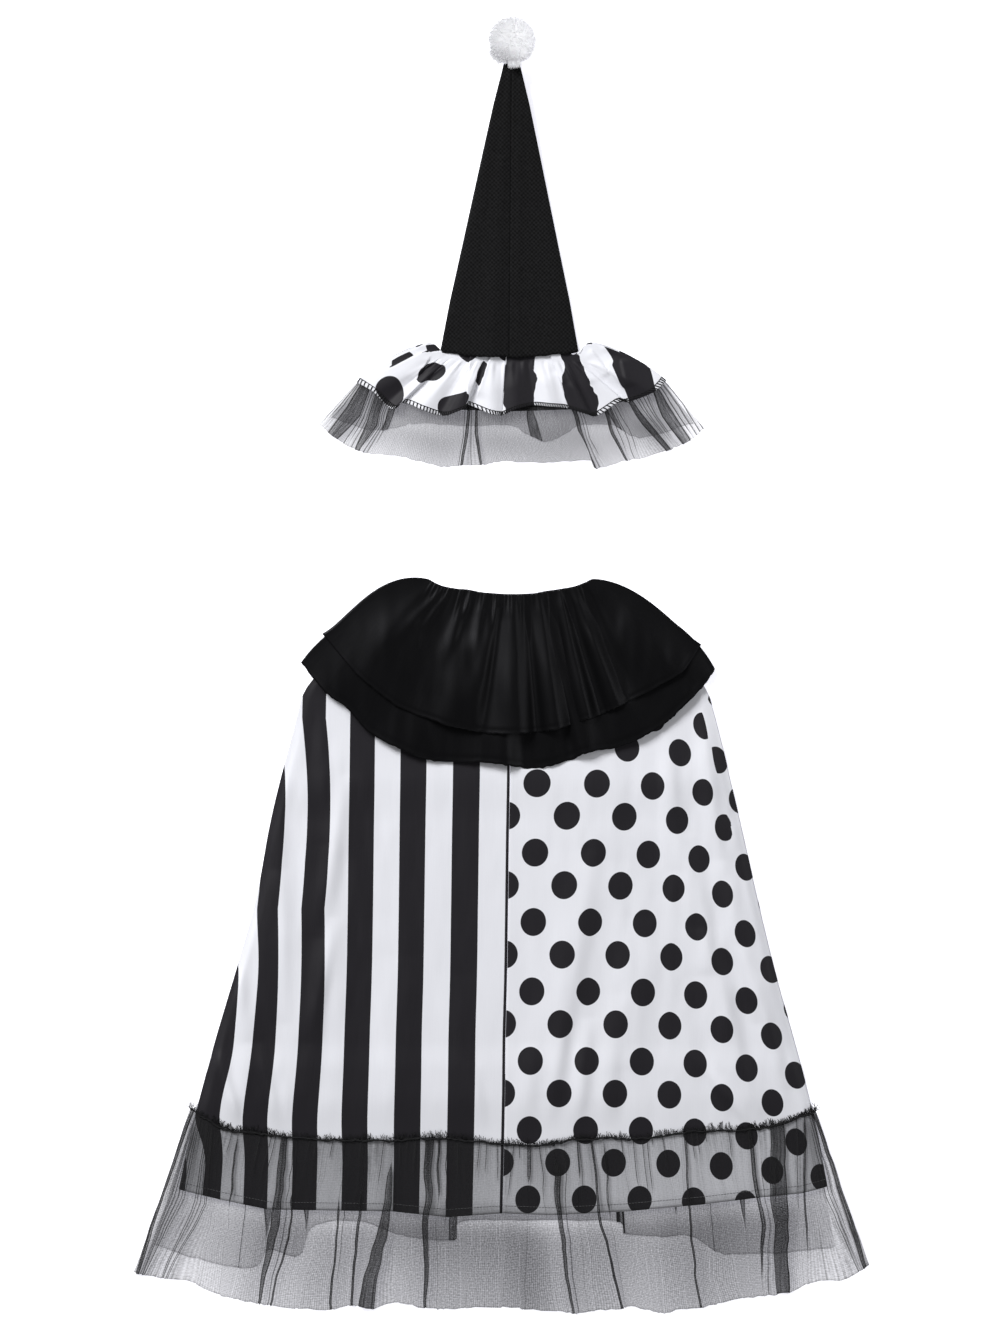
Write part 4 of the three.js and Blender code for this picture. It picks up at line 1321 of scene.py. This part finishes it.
def net_end(u, rng):
    """The end of a net thread that stands up from the frill's gathered edge."""
    root = on_frill(np.array(u), np.array(HEADER_LINE), 0.3)
    clump = 0.4 + 0.6 * abs(float(noise_along(np.array(u * 600), 9, 22)))
    long, lean = rng.uniform(*NET_END_LENGTH) * clump + 1, rng.normal(0, 0.45)
    bend = rng.normal(0, 0.3)
    along = np.linspace(0, 1, 4)[:, None]
    direction = np.array([math.sin(lean), math.cos(lean), 0])
    across = np.array([direction[1], -direction[0], 0])
    path = root + direction * along * long + across * bend * along**2 * long
    path[:, 2] += 0.6 * np.sin(math.pi * along[:, 0]) + rng.uniform(0, 0.5)
    return tube(to_row(path, CAPE_AT), rng.uniform(*NET_END_RADIUS) * MM, 3)


def gathering_thread(turn):
    """One of the two threads that gather the front frill and wind round each other."""
    along = np.linspace(0.002, 0.998, 900)
    wound = along * 260 + turn + 1.5 * noise_along(along * HEADER_LENGTH, 11, 23)
    path = on_frill(along, HEADER_LINE + 0 * along, 0.7)
    path[:, 1] += 0.5 * np.sin(wound) + noise_along(along * HEADER_LENGTH, 6, 24)
    path[:, 2] += 0.3 * np.cos(wound)
    return tube(to_row(path, CAPE_AT), GATHERING_RADIUS * MM, 5)


def frayed_header():
    """The frayed gathered edge of the front frill."""
    rng = np.random.default_rng(SEED + 21)
    parts = []
    u = 0.0
    while u < 1:
        parts.append(net_end(u, rng))
        u += rng.uniform(0.2, 0.9) / HEADER_LENGTH
    parts += [gathering_thread(turn) for turn in (0, math.pi)]
    piece = joined("frill_gathering", parts, MATERIALS["black_thread"])
    return ready(piece, None)


# -------- hat ruffle

RUFFLES = {
    # cloth and ply: rows, tucks
    ("dotted", "back"): (RUFFLE_BACK_LEFT, []),
    ("striped", "back"): (RUFFLE_BACK_RIGHT, []),
    ("dotted", "front"): (RUFFLE_FRONT_LEFT, LEFT_TUCKS),
    ("striped", "front"): (RUFFLE_FRONT_RIGHT, RIGHT_TUCKS),
}
RUFFLE_GRIDS = {"front": (200, 70), "back": (90, 30)}
RUFFLE_SHIFT = {"dotted": -SEAM_HALF_GAP, "striped": SEAM_HALF_GAP}
RUFFLE_DEPTH = 76  # of the flat cloth
OVER_CONE = 0.45  # from the felt to the ruffle
OFF_THE_CONE = (0.17, 0.34)  # where the ruffle comes down beside the cone
HAT_FULLNESS = 1.15
TUCK_WIDTH = 0.5
TUCK_FADE = 7
OVERLOCK_PITCH = 2.9
OVERLOCK_TOP = 0.945  # where its stitches start, as a share of the way to the edge
OVERLOCK_BEND = 1.12  # how much longer the wavy edge is than the straight line
OVERLOCK_ARCH = (0.45, 0.6, 0.6, 0.1)
OVERLOCK_RADIUS, INNER_RADIUS = 0.62, 0.4


def tuck(x, y, row):
    """Cloth that a tuck takes up, and how high its upper side stands."""
    x0, y0, x1, y1, cloth, high, throughout = row
    length = math.hypot(x1 - x0, y1 - y0)
    down = ((x - x0) * (x1 - x0) + (y - y0) * (y1 - y0)) / length**2
    across = ((y1 - y0) * (x - x0) - (x1 - x0) * (y - y0)) / length
    if y1 < y0:
        across = -across
    along = window(down, -0.12, 0.1, 0.9, 1.12)
    beyond = 1 - smooth(across, -TUCK_WIDTH, TUCK_WIDTH)
    on_top = across * (1 if high > 0 else -1)
    proud = smooth(on_top, -TUCK_WIDTH, TUCK_WIDTH) * np.exp(-np.maximum(on_top, 0) / TUCK_FADE)
    return cloth * beyond * (1 if throughout else along), abs(high) * along * proud


def ruffle_surface(cloth, ply, u, v):
    """Points of a ruffle, u along it and v from the cone to its edge, and their print."""
    rows, tucks = RUFFLES[cloth, ply]
    x, y, height = gathered_points(rows, u, v, RUFFLE_BOW, RUFFLE_SHIFT[cloth])
    inside = FELT + OVER_CONE + (LAYER if ply == "front" else 0)
    outside = 3 * LAYER if ply == "front" else 0
    z = inside + (outside - inside) * smooth(v, *OFF_THE_CONE) + WALL / 2
    z = z + height * smooth(v, 0.17, 0.64)
    if ply == "back":
        return np.stack([x, y, z], -1), np.stack([x * HAT_FULLNESS, RUFFLE_DEPTH * v], -1)
    gathers = noise_along(u * 100, 3.2, 31)
    z = z + 1.3 * gathers * smooth(v, 0.17, 0.3) * np.exp(-np.maximum(v - 0.25, 0) / 0.25)
    row = rounded(rows, u)
    cloth_s = row[..., 6] + v * (row[..., 7] - row[..., 6])
    cloth_t = row[..., 8] + v * (row[..., 9] - row[..., 8])
    cloth_s = cloth_s + 0.8 * soft_noise(x, y, 9, 14, 33) * smooth(np.abs(x), 20, 40)
    for tuck_row in tucks:
        taken, lift = tuck(x, y, tuck_row)
        cloth_s = cloth_s + taken
        z = z + lift
    return np.stack([x, y, z], -1), np.stack([cloth_s, cloth_t], -1)


def hat_ruffle(cloth, ply):
    node = f"hat_ruffle_{ply}_{cloth}"
    points, places = ruffle_surface(cloth, ply, *grid(*RUFFLE_GRIDS[ply]))
    piece = cloth_sheet(node + "_cloth", points, places, MATERIALS["hat_" + cloth], HAT_AT)
    thicken(piece, CLOTH)
    return ready(piece, node)


def overlock():
    """Slanted stitches that bind the front ruffles' edge, and a thread along their inner ends."""
    parts = []
    for cloth in ("dotted", "striped"):
        first, last = (RUFFLES[cloth, "front"][0][k] for k in (0, -1))
        length = math.hypot(last[2] - first[2], last[3] - first[3]) * OVERLOCK_BEND
        count = int(length / OVERLOCK_PITCH)
        for k in range(count):
            u = (k + np.linspace(0.2, 0.8, len(OVERLOCK_ARCH))) / count
            v = np.linspace(OVERLOCK_TOP, 1.003, len(OVERLOCK_ARCH))
            points = ruffle_surface(cloth, "front", u, np.minimum(v, 1))[0]
            points[:, 2] += OVERLOCK_ARCH
            points[-1, 1] -= 0.3
            parts.append(tube(to_row(points, HAT_AT), OVERLOCK_RADIUS * MM, 4))
        u = np.linspace(0, 1, 260)
        points = ruffle_surface(cloth, "front", u, OVERLOCK_TOP + 0 * u)[0]
        points[:, 2] += 0.5
        parts.append(tube(to_row(points, HAT_AT), INNER_RADIUS * MM, 4))
    piece = joined("ruffle_overlock", parts, MATERIALS["black_thread"])
    return ready(piece, None)


# -------- hat cone

CONE_LENGTH = 303
CONE_BASE_HALF = 72.8
CONE_SECTIONS = np.array([
    # distance up from the base, half width
    [0, CONE_BASE_HALF], [55, 62.8], [110, 51.2], [160, 40.7], [210, 30.1], [260, 19.3],
    [CONE_LENGTH, 8.5],
])
CONE_LEAN = 2.5  # how far it leans to the right on its way up
CONE_LEAN_START = 0.3
CONE_BASE_SAG = 6
CONE_GAP_AT_BASE = 2 * LAYER + 0.45
CONE_GAP_AT_TIP = 1.2
CONE_FLAT_LENGTH = 110  # from here on it rises to the pompom
CONE_TIP_LIFT = 15
CONE_EDGE_POWER = 14  # how square its pressed side edges are
CONE_SHELL = 1.2  # thickness of the felt's shell
CONE_STATIONS = 90
HALF_ACROSS = np.concatenate([np.linspace(-1, -0.93, 5), np.linspace(-0.9, -0.1, 22)])
BESIDE_SEAM = (-4.5, -3, -2, -1.3, -0.8, -0.4, 0, 0.4, 0.8, 1.3, 2, 3, 4.5)


def cone_relief(x, half):
    """Height of the seam's groove and lip, and of two soft folds up the cone."""
    broad = half / CONE_BASE_HALF
    relief = -0.9 * bell(x, 0.7) + 0.35 * bell(x - 2.2, 1.3)
    relief = relief + 2.6 * broad * bell(x + 19 * broad, 14 * broad)
    return relief + 0.9 * bell(x - 8, 5) * ramp(half, 12, 30)


def cone():
    """The felt is one piece, pressed flat. Its edges meet in a seam up the middle of the front."""
    up = np.linspace(0, CONE_LENGTH, CONE_STATIONS)[:, None]
    share = up / CONE_LENGTH
    lift = CONE_TIP_LIFT * ramp(up, CONE_FLAT_LENGTH, CONE_LENGTH) ** 2
    half = np.interp(up, CONE_SECTIONS[:, 0], CONE_SECTIONS[:, 1])
    tall = 2 * FELT + CONE_GAP_AT_BASE + share * (CONE_GAP_AT_TIP - CONE_GAP_AT_BASE)

    def round_edge(x):
        return np.sqrt(np.maximum(1 - np.abs(x / half) ** CONE_EDGE_POWER, 0))

    outer = np.concatenate([HALF_ACROSS, -HALF_ACROSS[::-1]])[None, :] * half
    front = np.sort(np.concatenate([outer, np.array(BESIDE_SEAM) + 0 * half], 1), axis=1)
    back = outer[:, ::-1]
    belly = 1.3 * soft_noise(front + 200, up + 0 * front, 34, 90, 35) * round_edge(front)
    z_front = lift + tall / 2 * (1 + round_edge(front)) + cone_relief(front, half) + belly
    z_back = lift + tall / 2 * (1 - round_edge(back))
    x = np.concatenate([front, back], 1)
    z = np.concatenate([z_front, z_back], 1)
    y = up - CONE_BASE_DIP * (1 - share) + CONE_BASE_SAG * (x / CONE_BASE_HALF) ** 2
    y = y + 0.9 * noise_along(x + 200, 7, 36) * np.exp(-up / 6)
    x = x + CONE_LEAN * (share - CONE_LEAN_START)
    vertices = to_row(np.stack([x, y, z], -1).reshape(-1, 3), HAT_AT)
    faces = ring_faces(CONE_STATIONS, x.shape[1])
    piece = mesh_object("hat_cone_felt", vertices, faces, MATERIALS["felt"])
    thicken(piece, CONE_SHELL, offset=-1)
    return ready(piece, "hat_cone")


# -------- pompom

POMPOM_HEIGHT = 0.021  # of its middle, in metres
CORE_SHARE = 0.96  # the core's radius, as a share of the pompom's
FLOOR_ROOM = (0.0008, 0.0006)  # the core and the tufts stay this far over the floor
# Tufts, in this order: how many, and their longest reach as a share of the pompom's radius. Those
# over the tip hang over the cone's, and the loose ones stand out at the lower left.
TUFTS = {"even": (2800, 1.12), "over_tip": (170, 1.3), "loose": (110, 1.28)}
TUFT_SHAPE = (1, 1, 0.75, 0.2)  # thickness along a tuft
TUFT_SIDES = 3
TUFT_ROOT = 0.93  # these are shares of the pompom's radius
TUFT_REACH_VARIES = 0.16
TUFT_BEND = (0.02, 0.14)
TUFT_THICK = (0.018, 0.030)


def pompom_core(centre, radius):
    """A lumpy ball."""
    core = bmesh.new()
    bmesh.ops.create_icosphere(core, subdivisions=4, radius=radius * CORE_SHARE)
    spots = np.array([v.co for v in core.verts])
    x, y, z = (spots / MM).T
    lumps = 1 + 0.03 * soft_noise(x + 90, y + 3 * z, 5, 5, 41)
    spots = spots * lumps[:, None] + centre
    spots[:, 2] = np.maximum(spots[:, 2], FLOOR_ROOM[0])
    faces = [[v.index for v in f.verts] for f in core.faces]
    core.free()
    return spots, faces


def tuft_direction(kind, k, count, rng):
    if kind == "over_tip":
        out = np.array([rng.uniform(-0.12, 0.32), -0.95, rng.uniform(0.05, 0.35)])
    elif kind == "loose":
        out = np.array([rng.uniform(-1, -0.4), rng.uniform(-0.9, -0.4), rng.uniform(-0.6, 0)])
    else:
        height = 1 - 2 * (k + 0.5) / count
        turn = k * math.pi * (3 - math.sqrt(5))
        level_out = math.sqrt(1 - height**2)
        out = np.array([level_out * math.cos(turn), level_out * math.sin(turn), height])
        out += rng.normal(0, 0.10, 3)
    return out / np.linalg.norm(out)


def tuft(centre, radius, out, longest, rng):
    """A short curved tuft that stands out from the core."""
    bend = rng.normal(0, 1, 3)
    bend -= out * bend.dot(out)
    bend /= np.linalg.norm(bend)
    reach = radius * rng.uniform(longest - TUFT_REACH_VARIES, longest)
    root = radius * TUFT_ROOT
    along = np.linspace(0, 1, len(TUFT_SHAPE))
    path = centre + out * (root + (reach - root) * along)[:, None]
    path = path + bend * (along**2 * radius * rng.uniform(*TUFT_BEND))[:, None]
    path[:, 2] = np.maximum(path[:, 2], FLOOR_ROOM[1])
    thick = radius * rng.uniform(*TUFT_THICK)
    side = np.cross(out, bend)
    ring = []
    for point, size in zip(path, TUFT_SHAPE):
        for s in range(TUFT_SIDES):
            a = 2 * math.pi * s / TUFT_SIDES
            ring.append(point + thick * size * (math.cos(a) * bend + math.sin(a) * side))
    end = list(range(len(ring)))[-TUFT_SIDES:]
    return np.array(ring), [*ring_faces(len(TUFT_SHAPE), TUFT_SIDES), end]


def pompom():
    """A ball of yarn: a lumpy core and many short curved tufts."""
    low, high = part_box("hat_pompom")
    centre = np.array([(low.x + high.x) / 2, (low.y + high.y) / 2, POMPOM_HEIGHT])
    radius = (high.y - low.y) / 2
    rng = np.random.default_rng(SEED)
    parts = [pompom_core(centre, radius)]
    for kind, (count, longest) in TUFTS.items():
        for k in range(count):
            out = tuft_direction(kind, k, count, rng)
            parts.append(tuft(centre, radius, out, longest, rng))
    piece = joined("hat_pompom_yarn", parts, MATERIALS["yarn"])
    # Painted shade: the colour is darker between the tufts, most of all at the lower left, where
    # they stand apart.
    spots = (np.concatenate([spots for spots, _ in parts]) - centre) / radius
    inside = 1 - smooth(np.linalg.norm(spots, axis=1), 0.97, 1.09)
    lower_left = smooth(-spots[:, 1] - 0.5 * spots[:, 0], 0.3, 1.1)
    store(piece.data, "painted_shade", "FLOAT", inside * (0.02 + 0.48 * lower_left))
    return ready(piece, "hat_pompom")


# -------- the set


def build_cape():
    for ply in ("back", "front"):
        for side, cloth, folds in ((-1, "striped", STRIPED_FOLDS), (1, "dotted", DOTTED_FOLDS)):
            node = f"cape_{ply}_{cloth}"
            folds_of_ply = folds if ply == "front" else []
            piece = cape_panel(node, side, folds_of_ply, ply, MATERIALS[cloth])
            ready(piece, node)
    for node, rows, bow, layers, folds, body, cut, area in COLLAR:
        piece = collar_tier(node, rows, bow, layers, folds, body)
    back = tulle_sheet(
        "hem_frill_back", BACK_FRILL, BACK_PLEATS, flat, flat, CAPE_AT, BACK_NET,
        down=70, seed=60, fullness=1.1, wave=0.1,
    )
    front = tulle_sheet(
        "hem_frill_front", FRONT_FRILL,
        FRONT_PLEATS + fanned(CREASE_FANS) + gathers_under(FRONT_FRILL, 8, 0.3, 12),
        lambda v: LAYER * (3 - 2 * smooth(v, 0.6, 1)) + 0.5,
        lambda v: 0.2 + 0.8 * smooth(v, 0, 0.6),
        CAPE_AT, FRONT_NET,
        down=110, seed=61, fullness=1.15, bundles=1.6, top=HEADER_LINE - 0.006, waver=2.0,
    )
    hem_stitching()
    frayed_header()


def build_hat():
    for cloth, ply in RUFFLES:
        piece = hat_ruffle(cloth, ply)
    overlock()
    back = tulle_sheet(
        "hat_edging_back", BACK_EDGING, BACK_EDGING_PLEATS,
        lambda v: LAYER * (1 - smooth(v, 0.25, 1)), flat,
        HAT_AT, BACK_HAT_NET,
        down=40, seed=70, fullness=1.1, wave=0.1,
    )
    front = tulle_sheet(
        "hat_edging_front", FRONT_EDGING, FRONT_EDGING_PLEATS + fanned(EDGING_FANS),
        lambda v: LAYER * (2 - smooth(v, 0.15, 1)), lambda v: smooth(v, 0.15, 1),
        HAT_AT, HAT_NET,
        down=60, seed=71, fullness=1.15, waver=1.3,
    )
    cone()
    pompom()


# -------- floor, light and camera

FLOOR_HALF = 8.0
FLOOR_DROP = 0.0004
FLOOR_GLOW = 0.68
FRAME_HEIGHT = 1.4  # metres of the surface that the picture's height takes in
CAMERA_HEIGHT = 6
CAMERA_PLACE = (-0.0016, -0.0002)
SENSOR = 36
WORLD_STRENGTH = 0.2
# The key would burn out the white yarn, so the pompom has a light of its own.
LIGHTS = {
    # name: place, size, power
    "key": ((-2.2, 2.6, 2.6), (1.8, 1.8), 242),
    "over_pompom": ((-0.1, 0.75, 2.2), (0.9, 0.9), 39),
    "fill": ((2.9, 0.6, 2.4), (2.2, 2.2), 34),
    "foot": ((0.2, -3.0, 2.2), (2.4, 1.6), 14),
}


def floor():
    corners = np.array([[-1, -1, 0], [1, -1, 0], [1, 1, 0], [-1, 1, 0]]) * FLOOR_HALF
    corners[:, 2] = -FLOOR_DROP
    nodes = Nodes("pale_floor")
    cloud = nodes.noise(nodes.object_place(), 3, detail=2)
    nodes.set(Base_Color=nodes.mix(cloud, (0.965, 0.965, 0.97), (0.975, 0.975, 0.98)))
    nodes.set(Roughness=0.9, Specular_IOR_Level=0.1)
    nodes.set(Emission_Color=(0.91, 0.91, 1, 1), Emission_Strength=FLOOR_GLOW)
    piece = mesh_object("floor", corners, [[0, 1, 2, 3]], nodes.material)


def area_light(name, place, size, power):
    """A light that faces the middle of the floor."""
    data = bpy.data.lights.new(name, "AREA")
    data.shape = "RECTANGLE"
    data.size, data.size_y = size
    data.energy = power
    light = bpy.data.objects.new(name, data)
    bpy.context.scene.collection.objects.link(light)
    light.location = place
    direction = -light.location
    light.rotation_mode = "QUATERNION"
    light.rotation_quaternion = direction.to_track_quat("-Z", "Y")
    return light


def lights():
    lamps = {name: area_light(name, *row) for name, row in LIGHTS.items()}
    for name, state in (("key", "EXCLUDE"), ("over_pompom", "INCLUDE")):
        lit = bpy.data.collections.new(name + "_and_pompom")
        lit.objects.link(bpy.data.objects["hat_pompom_yarn"])
        lamps[name].light_linking.receiver_collection = lit
        lit.collection_objects[0].light_linking.link_state = state
    world = bpy.data.worlds.new("studio")
    bpy.context.scene.world = world
    world.use_nodes = True
    background = world.node_tree.nodes["Background"]
    background.inputs["Color"].default_value = (1, 1, 1, 1)
    background.inputs["Strength"].default_value = WORLD_STRENGTH


def camera():
    data = bpy.data.cameras.new("camera")
    data.sensor_width = SENSOR
    data.lens = SENSOR * CAMERA_HEIGHT / FRAME_HEIGHT
    data.clip_end = 40
    piece = bpy.data.objects.new("camera", data)
    bpy.context.scene.collection.objects.link(piece)
    piece.location = (*CAMERA_PLACE, CAMERA_HEIGHT)
    bpy.context.scene.camera = piece


build_cape()
build_hat()
floor()
lights()
camera()
bpy.context.scene.view_settings.view_transform = "Standard"
